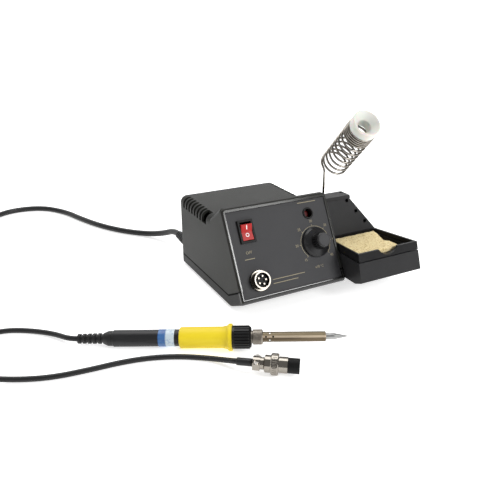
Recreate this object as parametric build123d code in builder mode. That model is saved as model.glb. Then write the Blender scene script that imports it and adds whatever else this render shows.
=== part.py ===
"""A bench soldering station: housing, clip-on iron rest with its sponge tray, and a loose iron on a lead.

Millimetres, +Z up, the table at z = 0. Places are given from the housing's centre line (x), the foot of
its sloping front (y) and the table (z); at() moves them to the middle of the footprint.
"""
import os
from math import atan2, cos, degrees, pi, radians, sin, sqrt, tan

from build123d import *

# Middle of the footprint, seen from the housing's own centre line and front foot
MID_X = -32.8135
MID_Y = 44.4924

# Housing
WIDTH = 110.0
HALF = WIDTH / 2
DEPTH = 139.7
TOP_Z = 75.4
WALL = 2.5
FOOT_HEIGHT = 3.0
FOOT_R = 5.5
FOOT_INSET = 7.5
FOOT_FRONT_Y = 46.5
FOOT_REAR = 15.7
SEAM_Z = 12.1
SEAM_KINK_Y = 26.6
NOSE_Y = 20.85
NOSE_R = 3.5
EDGE_R = 1.8
HOOD_R = 4.0
SHOULDER_R = 7.0
REAR_R = 4.0
TILT = 29.1
FRONT_FOOT_Z = 18.2
FRONT_LENGTH = 78.3
FRAME_SIDE = 3.0
FRAME_TOP = 3.3
FRAME_DEPTH = 5.0
LIP = 4.2
REBATE = 2.0
HOOD_BACK = 4.3
HOOD_RAMP = 20.0
CLEAR = 0.2
RUNNING = 0.05

# Front panel and what it carries: places are (across, up the slope)
PANEL_SINK = 1.0
PANEL_THICK = 2.0
SWITCH_INSET = (19.6, 19.3)
SWITCH_BEZEL = (15.2, 21.2)
SWITCH_BODY = (13.0, 19.2)
BEZEL_THICK = 2.2
BEZEL_TAPER = 5.0
SWITCH_DEPTH = 14.0
ROCKER_WIDTH = 10.4
ROCKER_HALF = 7.2
ROCKER_RISE = 3.4
ROCKER_DIP = 1.4
ROCKER_SINK = 4.6
ROCKER_TURN = 10.0
ROCKER_PIN_R = 1.0
ROCKER_EDGE_R = 0.5
PIVOT_SINK = 2.8
SPADE = (4.8, 0.8, 9.0)
SPADE_PITCH = (7.0, 8.0)
LAMP_INSET = (23.7, 13.0)
LAMP_R = 4.1
LAMP_BEZEL_R = 5.5
LAMP_SLEEVE_R = 4.8
LAMP_REACH = 1.0
LAMP_SINK = 6.0
LAMP_BEHIND = 11.0
LAMP_DOME = 1.6
DIAL_INSET = (22.8, 41.3)
KNOB_R = 14.0
KNOB_GRIP_R = 7.0
KNOB_HEIGHT = 15.6
KNOB_GAP = 0.8
KNOB_RIM = 1.6
KNOB_BEVEL = 1.8
KNOB_FOOT = 5.6
KNOB_FOOT_WIDTH = 1.0
KNOB_EDGE = 0.8
FLUTES_FROM = 7.2
KNOB_FLUTES = 20
KNOB_FLUTE_R = 0.6
KNOB_RECESS_R = 7.0
KNOB_CAP = 2.5
SHAFT_R = 3.0
BUSH_R = 3.5
BUSH_REACH = 3.8
BUSH_CLEAR = 0.8
SHAFT_IN = 7.0
SHAFT_END_GAP = 0.4
POT_R = 8.2
POT_DEPTH = 9.0
POT_NUT_R = 5.6
POT_NUT_THICK = 2.2
SOCKET_INSET = (21.2, 14.0)
SOCKET_FLANGE_R = 9.2
SOCKET_FLANGE = 2.4
SOCKET_R = 7.8
SOCKET_BORE_R = 6.6
SOCKET_REACH = 7.6
SOCKET_BEHIND = 9.0
SOCKET_FACE = 4.0
SOCKET_PINS = 5
PIN_CIRCLE_R = 3.7
PIN_R = 0.8
PIN_SINK = 1.0
SOCKET_NUT_R = 10.4
SOCKET_NUT_THICK = 2.6

# Vents in both shoulders
VENTS = 8
VENT_PITCH = 6.83
VENT_WIDTH = 3.8
VENT_REAR = 12.0
VENT_LOW_Z = 65.0
VENT_REACH = 8.0

# Inside the housing
SCREW_R = 1.5
SCREW_HEAD_R = 2.9
SCREW_HEAD = 1.8
SCREW_BITE = 9.0
SCREW_TAP = 1.0
HEAD_SINK = 0.5
SMALL_SCREW_R = 1.25
SMALL_HEAD_R = 2.3
SMALL_HEAD = 1.4
SMALL_SCREW_BITE = 5.0
POST_R = 4.2
POST_INSET = 10.0
POST_FRONT_Y = 64.0
POST_REAR = 30.7
POST_FOOT = 8.0
CORE_WIDTH = 50.0
CORE_STACK = 20.0
CORE_HEIGHT = 42.0
CORE_LIMB = 8.4
CORE_INSET = 51.0
CORE_Y = 106.0
COIL_BUILD = 7.0
STRAP = 1.2
STRAP_FOOT = 10.0
STRAP_BOSS = 4.0
STRAP_WIDTH = 12.0
BOARD_SIZE = (62.0, 34.0)
BOARD_THICK = 1.6
BOARD_AT = (0.0, 64.0)
BOARD_POST_HEIGHT = 6.0
BOARD_POST_R = 3.0
BOARD_INSET = 4.0
CAPACITOR_R = 6.0
CAPACITOR_HEIGHT = 18.0
CAPACITOR_LEFT = 16.0
TRIAC_RIGHT = 16.0
TERMINAL_BACK = 8.0
TRIAC_SIZE = (10.0, 4.5, 15.0)
TERMINAL_SIZE = (15.0, 8.0, 10.0)
GLAND_INSET = 9.5
GLAND_Z = 19.0
GLAND_FLANGE = 2.0
GLAND_R = 4.6
BOOT_R = 6.0
BOOT_END_R = 4.2
BOOT_LENGTH = 34.0
BOOT_RIBS = 8
BOOT_GROOVE = 0.8

# Iron rest screwed to the right wall
REST_BOTTOM_Z = 16.4
REST_WALL = 2.0
REST_BACK_Y = 56.0
TRAY_WIDTH = 70.0
TRAY_REAR_WIDTH = 60.0
TRAY_FRONT_Y = -16.4
TRAY_TOE_Y = -23.9
TRAY_TOE_Z = 20.1
TRAY_CHIN_Y = -15.1
TRAY_RIM_Z = 46.3
TRAY_REAR_Y = 34.2
TRAY_REAR_Z = 45.0
TRAY_SEAM_Z = 38.0
SEAM_GAP = 0.9
TRAY_GAP = 0.4
RIM_STEP = 2.2
WELL_FLOOR_Z = 22.5
TUB_WALL = 1.2
TUB_FLOOR_Z = 25.0
TUB_CLEAR = 0.4
NOTCH_WIDTH = 22.0
NOTCH_DEPTH = 6.0
PLATE_TOP_Y = 44.5
PLATE_TOP_Z = 78.7
PLATE_TOP_WIDTH = 32.3
LEDGE_FRONT_Y = 42.0
LEDGE_TOP_Z = 82.1
TIP_HOLE_R = 1.9
TIP_HOLES = 3
TIP_HOLE_INSET = 4.0
TIP_HOLE_FIRST = 9.0
TIP_HOLE_STEP = 11.6
TIP_HOLE_DEPTH = 8.0
TIP_SLEEVE = 1.2
LEDGE_HOLE_INSET = 4.5
LEDGE_HOLE_Y = 51.5
SPONGE_TOP_Z = 44.2
SPONGE_PLAN = (
    (4.1, -11.5),
    (52.5, -11.5),
    (52.5, 1.0),
    (49.5, 3.0),
    (48.5, 6.0),
    (54.0, 22.0),
    (55.5, 30.1),
    (4.1, 30.1),
)
REST_SCREWS_YZ = ((46.0, 30.0), (50.0, 62.0))

# Spring that takes the hot iron, and the cup on its end
WIRE_R = 1.0
SPRING_R = 12.5
SPRING_TURNS = 12
SPRING_STEP = 6.9
CLOSE_STEP = 2.5
FLAT_ANGLE = 108.0
OPENING_ANGLE = 216.0
OPEN_ANGLE = 2592.0
CLOSING_ANGLE = 468.0
START_ANGLE = -9.0
SPRING_FOOT = (17.93, 53.03, 112.33)
SPRING_LEAN = 46.96
SPRING_SWING = -5.41
STEM_BEND_R = 8.0
STEM_SINK = 9.0
STEM_BOSS_R = 3.2
FUNNEL_R = 13.0
FUNNEL_LENGTH = 8.0
FUNNEL_RIM = 1.2
FUNNEL_HOLE_R = 6.4
FUNNEL_THROAT = 2.5
FUNNEL_SPIGOT = 6.0

# Iron: lengths run from the rear of its handle; it lies on its flange and its tail
IRON_TAIL_XY = (-165.2, 11.5)
IRON_HEADING = -30.95
HANDLE_R = 6.75
HANDLE_BORE_R = 4.2
HANDLE_EDGE = 0.6
LABEL_FROM = 37.3
LABEL_TO = 50.2
LABEL_THICK = 0.25
GRIP_FROM = 54.1
GRIP_R = 8.6
GRIP_BORE_R = 6.0
GRIP_FLARE = 5.0
GRIP_EDGE = 0.8
FLANGE_AT = 93.5
FLANGE_R = 10.9
FLANGE_THICK = 2.6
RING_LENGTH = 15.0
RING_R = 9.3
RING_EDGE = 1.6
RING_FLOOR = 1.0
RIBS_FROM = 2.0
RING_RIBS = 24
RIB_GROOVE_R = 0.7
NECK_LENGTH = 1.2
NUT_LENGTH = 8.0
NUT_R = 6.0
NUT_KNURLS = 36
KNURL_R = 0.35
KNURL_LAND = 1.25
NUT_EDGE = 0.8
NUT_NECK = 1.0
BARREL_LENGTH = 49.5
BARREL_R = 4.0
BARREL_WALL = 0.5
BARREL_LIP = 1.0
BARREL_HOLE_R = 0.8
HOLES_FROM = 2.6
HOLES_STEP = 2.8
HOLE_ROWS = 3
HOLES_ROLL = 31.4
TIP_LENGTH = 16.8
TIP_R = 2.5
TIP_SHANK = 18.0
TIP_COLLAR = 2.0
TIP_STRAIGHT = 6.4
TIP_POINT_R = 0.4
TIP_POINT = 1.0
HEATER_R = 1.7
HEATER_BACK = 2.0
HEATER_SHORT = 4.0
HEATER_END_GAP = 0.5
RELIEF_LENGTH = 29.0
RELIEF_R = 4.4
RELIEF_END_R = 3.9
RELIEF_GROOVE = 1.0
RELIEF_FLANGE = 8.0
RELIEF_SEAT = 6.0
RELIEF_RIBS = 5
RELIEF_FLANGE_R = 6.1

# Lead of the iron and its plug
LEAD_R = 2.2
LEAD_RUN_OUT = 12.0
RELIEF_RUN_OUT = 8.0
PLUG_XY = (-83.2, -73.3)
PLUG_HEADING = -36.1
PLUG_R = 6.6
PLUG_NECK_R = 4.6
PLUG_RING_R = 8.3
PLUG_RING_LENGTH = 5.8
PLUG_RING_BORE_R = 5.7
PLUG_RING_KNURLS = 30
PLUG_RING_GAP = 0.3
PLUG_RING_EDGE = 0.6
PLUG_SHOULDER = 1.0
PLUG_FLOOR = 2.0
CLAMP_SCREW_R = 1.0
CLAMP_HEAD_R = 1.8
PLUG_CLAMP_R = 5.0
PLUG_CLAMP_LENGTH = 5.5
PLUG_CLAMP_LUG = 12.6
PLUG_NECK_LENGTH = 2.5
PLUG_BACK_LENGTH = 5.2
PLUG_FRONT_LENGTH = 6.4
PLUG_FRONT_R = 6.2
PLUG_NOSE_LENGTH = 8.8
PLUG_NOSE_R = 5.8
LEAD_COIL_AT = (-291.0, 36.0)
LEAD_COIL_TURNS = 5.5
LEAD_COIL_INNER_R = 16.5
LEAD_ROUTE = (
    (-205.0, 47.5, 2.9),
    (-222.0, 64.0, 2.2),
    (-242.0, 75.0, 2.2),
    (-262.0, 73.0, 2.2),
)
PLUG_ROUTE = (
    (-266.0, 5.2, 6.4),
    (-246.0, -2.0, 2.2),
    (-220.0, -13.0, 2.2),
    (-191.4, -16.4, 2.2),
    (-169.0, -17.6, 2.2),
    (-146.7, -22.0, 2.2),
    (-125.5, -31.0, 2.2),
    (-107.0, -43.5, 2.2),
    (-96.0, -57.0, 4.6),
)

# Mains lead
MAINS_R = 3.3
MAINS_RUN_IN = 24.0
MAINS_RUN_OUT = 38.0
MAINS_COIL_AT = (-283.0, 292.0)
MAINS_COIL_TURNS = 4.5
MAINS_COIL_INNER_R = 27.0
COIL_GAP = 0.9
MAINS_ROUTE = (
    (-51.5, 207.0, 9.5),
    (-63.5, 229.0, 3.3),
    (-85.0, 250.0, 3.3),
    (-105.5, 281.0, 3.3),
    (-121.5, 319.0, 3.3),
    (-134.0, 357.0, 3.3),
    (-159.0, 390.0, 3.3),
    (-199.0, 395.0, 3.3),
    (-229.0, 371.0, 3.3),
    (-239.5, 335.0, 3.3),
)
PLUG_WIDTH = 35.0
PLUG_LENGTH = 34.0
PLUG_TAIL_LENGTH = 14.0
PLUG_TAIL_EDGE = 1.0
MAINS_PIN_R = 2.4
MAINS_PIN_LENGTH = 19.0
MAINS_PIN_PITCH = 19.0

SLOPE_SIN = sin(radians(TILT))
SLOPE_COS = cos(radians(TILT))
FLOOR_Z = FOOT_HEIGHT + WALL
FOOT_XY = [(i * (HALF - FOOT_INSET), y) for i in (-1, 1) for y in (FOOT_FRONT_Y, DEPTH - FOOT_REAR)]
POST_XY = [(i * (HALF - POST_INSET), y) for i in (-1, 1) for y in (POST_FRONT_Y, DEPTH - POST_REAR)]
SWITCH_AT = (SWITCH_INSET[0] - HALF, FRONT_LENGTH - SWITCH_INSET[1])
LAMP_AT = (HALF - LAMP_INSET[0], FRONT_LENGTH - LAMP_INSET[1])
DIAL_AT = (HALF - DIAL_INSET[0], FRONT_LENGTH - DIAL_INSET[1])
SOCKET_AT = (SOCKET_INSET[0] - HALF, SOCKET_INSET[1])
GLAND_AT = (GLAND_INSET - HALF, GLAND_Z)
CORE_AT = (HALF - CORE_INSET, CORE_Y)


def at(x, y, z=0.0):
    """A place given from the housing's centre line, front foot and the table."""
    return Vector(x - MID_X, y - MID_Y, z)


def level(z):
    """Level plane at a height, whose own x and y are the housing's."""
    return Plane(at(0, 0, z))


def side_plane(x):
    """Upright plane across the housing at x, whose own axes are y and z."""
    return Plane(origin=at(x, 0), x_dir=(0, 1, 0), z_dir=(1, 0, 0))


def back_plane(y):
    """Upright plane along the housing at y, whose own axes are x and z, seen from the front."""
    return Plane(origin=at(0, y), x_dir=(1, 0, 0), z_dir=(0, -1, 0))


def front(up, behind):
    """(y, z) of the point that is so far up the sloping front and so far behind its face."""
    return (up * SLOPE_SIN + behind * SLOPE_COS, FRONT_FOOT_Z + up * SLOPE_COS - behind * SLOPE_SIN)


def up_front(z, behind=0.0):
    """How far up the slope the height z is met, behind the face."""
    return (z - FRONT_FOOT_Z + behind * SLOPE_SIN) / SLOPE_COS


def on_front(place, out=0.0):
    """Plane parallel to the sloping front, at (across, up) and out from its face."""
    base = Plane(origin=at(0, 0, FRONT_FOOT_Z), x_dir=(1, 0, 0), z_dir=(0, -SLOPE_COS, SLOPE_SIN))
    origin = base.from_local_coords((place[0], place[1], out))
    return Plane(origin, x_dir=base.x_dir, z_dir=base.z_dir)


def out_of(plane):
    """Plane through the axis that stands on a plane: own x runs out along it, own y away from it."""
    return Plane(plane.origin, x_dir=plane.z_dir, z_dir=plane.y_dir)


def square_to(plane, along):
    """Plane square to a turned piece's axis, at a distance along it."""
    return Plane(plane.from_local_coords((along, 0, 0)), x_dir=plane.y_dir, z_dir=plane.x_dir)


def lying(x, y, z, heading, pitch=0.0):
    """Axis plane of a piece that lies on the table, by its heading and how far its nose is raised."""
    turn = radians(heading)
    rise = radians(pitch)
    along = Vector(cos(turn) * cos(rise), sin(turn) * cos(rise), sin(rise))
    return Plane(at(x, y, z), x_dir=along, z_dir=(sin(turn), -cos(turn), 0))


def outline(plane, points):
    """Closed face through points on a plane."""
    with BuildSketch(plane) as face:
        with BuildLine():
            Polyline(*points, close=True)
        make_face()
    return face.sketch


def turned(plane, points):
    """Profile of (along, radius) points, turned round its axis plane into the piece being built."""
    revolve(outline(plane, points), axis=Axis(plane.origin, plane.x_dir))


def biarc(start, leave, end, arrive):
    """Two arcs from start to end that meet in one tangent, leaving and arriving as given."""
    chord = end - start
    turn = 1 - leave.dot(arrive)
    along = chord.dot(leave + arrive)
    reach = (sqrt(along**2 + 2 * turn * chord.dot(chord)) - along) / (2 * turn)
    first = start + leave * reach
    second = end - arrive * reach
    middle = (first + second) * 0.5
    return [
        Edge.make_tangent_arc(start, leave, middle),
        Edge.make_tangent_arc(middle, (second - first).normalized(), end),
    ]


def tangent_of(curve, t):
    """Unit direction of a curve given as a formula of t."""
    step = 1e-4
    return (curve(t + step) - curve(t - step)).normalized()


def wind(curve, last, pieces):
    """Biarcs along a formula's curve from 0, split into equal pieces of the parameter."""
    stops = [last * i / pieces for i in range(pieces + 1)]
    edges = []
    for start, end in zip(stops, stops[1:]):
        edges += biarc(curve(start), tangent_of(curve, start), curve(end), tangent_of(curve, end))
    return edges


def least_gap(name, curve, last, radius):
    """Print the least gap between the turns of a wound tube, on points along its line."""
    per_turn = 60
    count = int(last / (2 * pi) * per_turn)
    points = [curve(last * i / count) for i in range(count + 1)]
    apart = per_turn // 2
    gap = min((a - b).length for i, a in enumerate(points) for b in points[i + apart :])
    print(f"{name}: least gap to itself {gap - 2 * radius:.2f} mm")


def coil_curve(middle, turns, inner_r, wire_r, start_angle, hand):
    """Two-layer coil on the table: spirals in, climbs a layer at its heart, and spirals out again."""
    step = 2 * wire_r + COIL_GAP

    def curve(t):
        past = t - pi * turns
        radius = inner_r + step / (2 * pi) * sqrt(past**2 + (pi / 4) ** 2)
        climb = min(max((past + pi / 2) / pi, 0), 1)
        height = wire_r + step * (3 * climb**2 - 2 * climb**3)
        angle = radians(start_angle) + hand * t
        return at(middle[0] + radius * cos(angle), middle[1] + radius * sin(angle), height)

    return curve


def tube(path, radius):
    """Round tube swept along a path into the piece being built."""
    with BuildSketch(Plane(path @ 0, z_dir=path % 0)) as section:
        Circle(radius)
    sweep(section.sketch, path=path)


def lay(name, points, radius):
    """Lead along a route of straight runs, with every corner as round as its two runs allow."""
    radii = []
    for before, corner, after in zip(points, points[1:], points[2:]):
        turn = (corner - before).get_angle(after - corner)
        shorter = min((corner - before).length, (after - corner).length)
        radii.append(0.45 * shorter / tan(radians(turn) / 2))
    print(f"{name}: radii", [round(r) for r in radii])
    with BuildLine() as route:
        FilletPolyline(*points, radius=radii)
    path = route.wires()[0]
    tube(path, radius)
    print(f"{name}: length {path.length:.0f} mm")


def wound_lead(name, curve, turns, radius, run_out):
    """Coil of a lead, straight for one diameter before it and for run_out after it."""
    last = 2 * pi * turns
    start = curve(0)
    end = curve(last)
    before = start - tangent_of(curve, 0) * (2 * radius)
    after = end + tangent_of(curve, last) * run_out
    edges = [Edge.make_line(before, start)] + wind(curve, last, int(4 * turns)) + [Edge.make_line(end, after)]
    path = Wire(edges)
    tube(path, radius)
    print(f"{name}: length {path.length:.0f} mm")
    least_gap(name, curve, last, radius)
    return before, after


os.makedirs("parts", exist_ok=True)


def save(piece, name):
    """Name a finished piece and write its STEP file."""
    piece.part.label = name
    export_step(piece.part, f"parts/{name}.step")


seam_up = SEAM_KINK_Y * SLOPE_SIN + (SEAM_Z - FRONT_FOOT_Z) * SLOPE_COS
inner = HALF - WALL
head_seat_z = FOOT_HEIGHT + SCREW_HEAD + HEAD_SINK
post_top_z = FLOOR_Z + POST_FOOT
board_z = FLOOR_Z + BOARD_POST_HEIGHT
board_holes = [
    (BOARD_AT[0] + i * (BOARD_SIZE[0] / 2 - BOARD_INSET), BOARD_AT[1] + j * (BOARD_SIZE[1] / 2 - BOARD_INSET))
    for i in (-1, 1)
    for j in (-1, 1)
]
strap_holes = [(CORE_AT[0] + i * (CORE_WIDTH / 2 + STRAP + STRAP_FOOT / 2), CORE_AT[1]) for i in (-1, 1)]
strap_z = FLOOR_Z + STRAP_BOSS

# Base tray: floor, low walls, nose with the lip under the front panel, bosses
with BuildPart() as base_tray:
    shape = [
        front(-LIP, 0),
        (NOSE_Y, FOOT_HEIGHT),
        (DEPTH, FOOT_HEIGHT),
        (DEPTH, SEAM_Z),
        (SEAM_KINK_Y, SEAM_Z),
        front(seam_up, 0),
    ]
    extrude(outline(side_plane(-HALF), shape), amount=WIDTH)
    fillet(base_tray.edges().filter_by(Axis.Z).group_by(Axis.Y)[-1], radius=REAR_R)
    fillet(base_tray.edges().filter_by(Axis.X).sort_by(Axis.Y)[0], radius=NOSE_R)
    ears = base_tray.edges().filter_by(lambda e: abs(e.tangent_at(0.5).X) < 0.1).group_by(Axis.Y)[0]
    fillet(ears, radius=EDGE_R)
    cavity = [
        front(WALL - LIP, FRAME_DEPTH),
        (NOSE_Y, FLOOR_Z),
        (DEPTH - WALL, FLOOR_Z),
        (DEPTH - WALL, TOP_Z),
        front(FRONT_LENGTH, FRAME_DEPTH),
    ]
    extrude(outline(side_plane(-inner), cavity), amount=2 * inner, mode=Mode.SUBTRACT)
    panel_room = [
        front(0, -LIP),
        front(0, 2 * FRAME_DEPTH),
        front(LIP + seam_up, 2 * FRAME_DEPTH),
        front(LIP + seam_up, -LIP),
    ]
    extrude(outline(side_plane(-inner), panel_room), amount=2 * inner, mode=Mode.SUBTRACT)
    with BuildSketch(level(FLOOR_Z - WALL / 2)):
        with Locations(*POST_XY):
            Circle(POST_R)
    extrude(amount=post_top_z - FLOOR_Z + WALL / 2)
    with BuildSketch(level(FLOOR_Z - WALL / 2)):
        with Locations(*board_holes):
            Circle(BOARD_POST_R)
    extrude(amount=board_z - FLOOR_Z + WALL / 2)
    with BuildSketch(level(FLOOR_Z - WALL / 2)):
        with Locations(*strap_holes):
            Circle(BOARD_POST_R)
    extrude(amount=strap_z - FLOOR_Z + WALL / 2)
    with BuildSketch(level(FOOT_HEIGHT)):
        with Locations(*POST_XY):
            Circle(SCREW_R + CLEAR)
    extrude(amount=post_top_z, mode=Mode.SUBTRACT)
    with BuildSketch(level(FOOT_HEIGHT)):
        with Locations(*POST_XY):
            Circle(SCREW_HEAD_R + CLEAR)
    extrude(amount=head_seat_z - FOOT_HEIGHT, mode=Mode.SUBTRACT)
    with BuildSketch(level(board_z)):
        with Locations(*board_holes):
            Circle(SMALL_SCREW_R)
    extrude(amount=-SMALL_SCREW_BITE, mode=Mode.SUBTRACT)
    with BuildSketch(level(strap_z)):
        with Locations(*strap_holes):
            Circle(SMALL_SCREW_R)
    extrude(amount=-STRAP_BOSS, mode=Mode.SUBTRACT)
save(base_tray, "base_tray")

# Space inside the cover: under the hood in front, under the flat top behind
ramp_fall = (front(FRONT_LENGTH + FRAME_TOP, 0)[1] - TOP_Z) / HOOD_RAMP
hood_y, hood_z = front(FRONT_LENGTH + FRAME_TOP, 0)
ramp_drop = WALL * sqrt(1 + ramp_fall**2)
apex_up = (
    hood_z - ramp_drop - FRONT_FOOT_Z + FRAME_DEPTH * SLOPE_SIN
    - ramp_fall * (FRAME_DEPTH * SLOPE_COS - hood_y - HOOD_BACK)
) / (SLOPE_COS + ramp_fall * SLOPE_SIN)
ramp_foot_y = hood_y + HOOD_BACK + HOOD_RAMP
core_foot_y = ramp_foot_y + (WALL - ramp_drop) / ramp_fall
with BuildPart() as cover_core:
    under_hood = [
        front(up_front(SEAM_Z - WALL, FRAME_DEPTH), FRAME_DEPTH),
        front(apex_up, FRAME_DEPTH),
        (core_foot_y, TOP_Z - WALL),
        (core_foot_y, SEAM_Z - WALL),
    ]
    with BuildSketch(level(SEAM_Z - WALL)):
        with Locations((0, (SEAM_KINK_Y * 2 + DEPTH) / 2 - WALL / 2)):
            Rectangle(2 * inner, DEPTH - WALL - SEAM_KINK_Y * 2)
    extrude(amount=TOP_Z - SEAM_Z)
    fillet(cover_core.edges().filter_by(Axis.Y).group_by(Axis.Z)[-1], radius=SHOULDER_R - WALL)
    extrude(outline(side_plane(-inner), under_hood), amount=2 * inner)

# Hood: sloping front rounded at its sides and along its top
with BuildPart() as hood_block:
    shape = [
        front(seam_up, 0),
        front(FRONT_LENGTH + FRAME_TOP, 0),
        (hood_y + HOOD_BACK, hood_z),
        (ramp_foot_y, TOP_Z),
        (ramp_foot_y, SEAM_Z),
        (SEAM_KINK_Y, SEAM_Z),
    ]
    extrude(outline(side_plane(-HALF), shape), amount=WIDTH)
    brow = hood_block.edges().filter_by(lambda e: e.center().Z > TOP_Z and abs(e.tangent_at(0.5).X) < 0.1)
    fillet(brow, radius=HOOD_R)
    face = hood_block.faces().filter_by(lambda f: f.normal_at().Y < -0.5 and f.normal_at().Z > 0).sort_by(Axis.Y)[0]
    fillet(face.edges().sort_by(Axis.Z)[1:], radius=EDGE_R)

# Cover: flat-topped box, hood over the front panel, window, vents, posts for its screws
vent_first_y = DEPTH - VENT_REAR - (VENTS - 1) * VENT_PITCH
with BuildPart() as top_cover:
    with BuildSketch(level(SEAM_Z)):
        with Locations((0, (SEAM_KINK_Y * 2 + DEPTH) / 2)):
            Rectangle(WIDTH, DEPTH - SEAM_KINK_Y * 2)
    extrude(amount=TOP_Z - SEAM_Z)
    fillet(top_cover.edges().filter_by(Axis.Y).group_by(Axis.Z)[-1], radius=SHOULDER_R)
    fillet(top_cover.edges().filter_by(Axis.Z).group_by(Axis.Y)[-1], radius=REAR_R)
    add(hood_block.part)
    add(cover_core.part, mode=Mode.SUBTRACT)
    pocket = 2 * (HALF - FRAME_SIDE)
    with BuildSketch(on_front((0, FRONT_LENGTH / 2), LIP)):
        Rectangle(pocket, FRONT_LENGTH + 2 * CLEAR)
    extrude(amount=-LIP - PANEL_SINK - PANEL_THICK, mode=Mode.SUBTRACT)
    with BuildSketch(on_front((0, FRONT_LENGTH / 2), 0)):
        Rectangle(pocket - 2 * REBATE, FRONT_LENGTH - 2 * REBATE)
    extrude(amount=-2 * FRAME_DEPTH, mode=Mode.SUBTRACT)
    foot_room = [
        front(-LIP, -LIP),
        front(-LIP, FRAME_DEPTH + CLEAR),
        front(REBATE, FRAME_DEPTH + CLEAR),
        front(REBATE, -LIP),
    ]
    extrude(outline(side_plane(-HALF + FRAME_SIDE), foot_room), amount=pocket, mode=Mode.SUBTRACT)
    with BuildSketch(level(post_top_z)):
        with Locations(*POST_XY):
            Circle(POST_R)
    extrude(amount=TOP_Z - WALL / 2 - post_top_z)
    with BuildSketch(level(post_top_z)):
        with Locations(*POST_XY):
            Circle(SCREW_R + RUNNING)
    extrude(amount=SCREW_BITE + SCREW_TAP, mode=Mode.SUBTRACT)
    for side in (-1, 1):
        with BuildSketch(back_plane(vent_first_y - VENT_WIDTH / 2)) as slots:
            with Locations((side * (HALF + VENT_REACH), (VENT_LOW_Z + TOP_Z + WALL) / 2)):
                Rectangle(2 * 2 * VENT_REACH, TOP_Z + WALL - VENT_LOW_Z)
        for i in range(VENTS):
            moved = slots.sketch.moved(Location((0, i * VENT_PITCH, 0)))
            extrude(moved, amount=-VENT_WIDTH, mode=Mode.SUBTRACT)
    with BuildSketch(back_plane(DEPTH)):
        with Locations(GLAND_AT):
            Circle(GLAND_R + RUNNING)
    extrude(amount=2 * WALL, both=True, mode=Mode.SUBTRACT)
    with BuildSketch(side_plane(HALF)):
        with Locations(*REST_SCREWS_YZ):
            Circle(SCREW_R + CLEAR)
    extrude(amount=-2 * WALL, mode=Mode.SUBTRACT)
save(top_cover, "top_cover")

# Front panel with the holes of what it carries
panel_face = -PANEL_SINK
with BuildPart() as front_panel:
    with BuildSketch(on_front((0, FRONT_LENGTH / 2), panel_face)):
        Rectangle(pocket - CLEAR, FRONT_LENGTH - CLEAR)
    extrude(amount=-PANEL_THICK)
    with BuildSketch(on_front((0, 0), panel_face)):
        with Locations(SWITCH_AT):
            Rectangle(SWITCH_BODY[0] + CLEAR, SWITCH_BODY[1] + CLEAR)
        with Locations(LAMP_AT):
            Circle(LAMP_SLEEVE_R + RUNNING)
        with Locations(DIAL_AT):
            Circle(BUSH_R + RUNNING)
        with Locations(SOCKET_AT):
            Circle(SOCKET_R + RUNNING)
    extrude(amount=-2 * PANEL_THICK, mode=Mode.SUBTRACT)
save(front_panel, "front_panel")

with BuildPart() as rubber_feet:
    with BuildSketch(level(0)):
        with Locations(*FOOT_XY):
            Circle(FOOT_R)
    extrude(amount=FOOT_HEIGHT)
    chamfer(rubber_feet.faces().group_by(Axis.Z)[0].edges(), length=FOOT_HEIGHT / 5)
save(rubber_feet, "rubber_feet")

with BuildPart() as cover_screws:
    with BuildSketch(level(head_seat_z)):
        with Locations(*POST_XY):
            Circle(SCREW_HEAD_R)
    extrude(amount=-SCREW_HEAD)
    with BuildSketch(level(head_seat_z)):
        with Locations(*POST_XY):
            Circle(SCREW_R)
    extrude(amount=post_top_z + SCREW_BITE - head_seat_z)
save(cover_screws, "cover_screws")

# Mains switch: housing with a well, rocker on two pins, spade terminals
pivot = on_front(SWITCH_AT, panel_face - PIVOT_SINK)
turn = radians(ROCKER_TURN)
well_half = ROCKER_HALF * cos(turn) + (ROCKER_RISE + PIVOT_SINK) * sin(turn) + 2 * CLEAR
well_width = ROCKER_WIDTH + 4 * CLEAR
with BuildPart() as switch_housing:
    with BuildSketch(on_front(SWITCH_AT, panel_face)):
        Rectangle(*SWITCH_BEZEL)
    extrude(amount=BEZEL_THICK, taper=BEZEL_TAPER)
    with BuildSketch(on_front(SWITCH_AT, panel_face)):
        Rectangle(*SWITCH_BODY)
    extrude(amount=-SWITCH_DEPTH)
    with BuildSketch(on_front(SWITCH_AT, panel_face + BEZEL_THICK)):
        Rectangle(well_width, 2 * well_half)
    extrude(amount=-BEZEL_THICK - PIVOT_SINK - ROCKER_SINK - ROCKER_HALF * sin(turn), mode=Mode.SUBTRACT)
    with BuildSketch(Plane(pivot.origin, x_dir=pivot.y_dir, z_dir=pivot.x_dir)):
        Circle(ROCKER_PIN_R + RUNNING)
    extrude(amount=SWITCH_BODY[0] / 2, both=True, mode=Mode.SUBTRACT)
save(switch_housing, "switch_housing")

rocker_up = pivot.y_dir * cos(turn) + pivot.z_dir * sin(turn)
rocker_plane = Plane(pivot.origin, x_dir=rocker_up, z_dir=pivot.x_dir)
with BuildPart() as power_rocker:
    end_top = ROCKER_RISE + PIVOT_SINK
    shape = [
        (-ROCKER_HALF, end_top),
        (0, ROCKER_DIP + PIVOT_SINK),
        (ROCKER_HALF, end_top),
        (ROCKER_HALF, -ROCKER_SINK / 4),
        (ROCKER_HALF / 3, -ROCKER_SINK),
        (-ROCKER_HALF / 3, -ROCKER_SINK),
        (-ROCKER_HALF, -ROCKER_SINK / 4),
    ]
    extrude(outline(rocker_plane, shape), amount=ROCKER_WIDTH / 2, both=True)
    fillet(power_rocker.edges().filter_by(Axis.X), radius=ROCKER_EDGE_R)
    with BuildSketch(rocker_plane):
        Circle(ROCKER_PIN_R)
    extrude(amount=SWITCH_BODY[0] / 2 - CLEAR, both=True)
save(power_rocker, "power_rocker")

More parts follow.
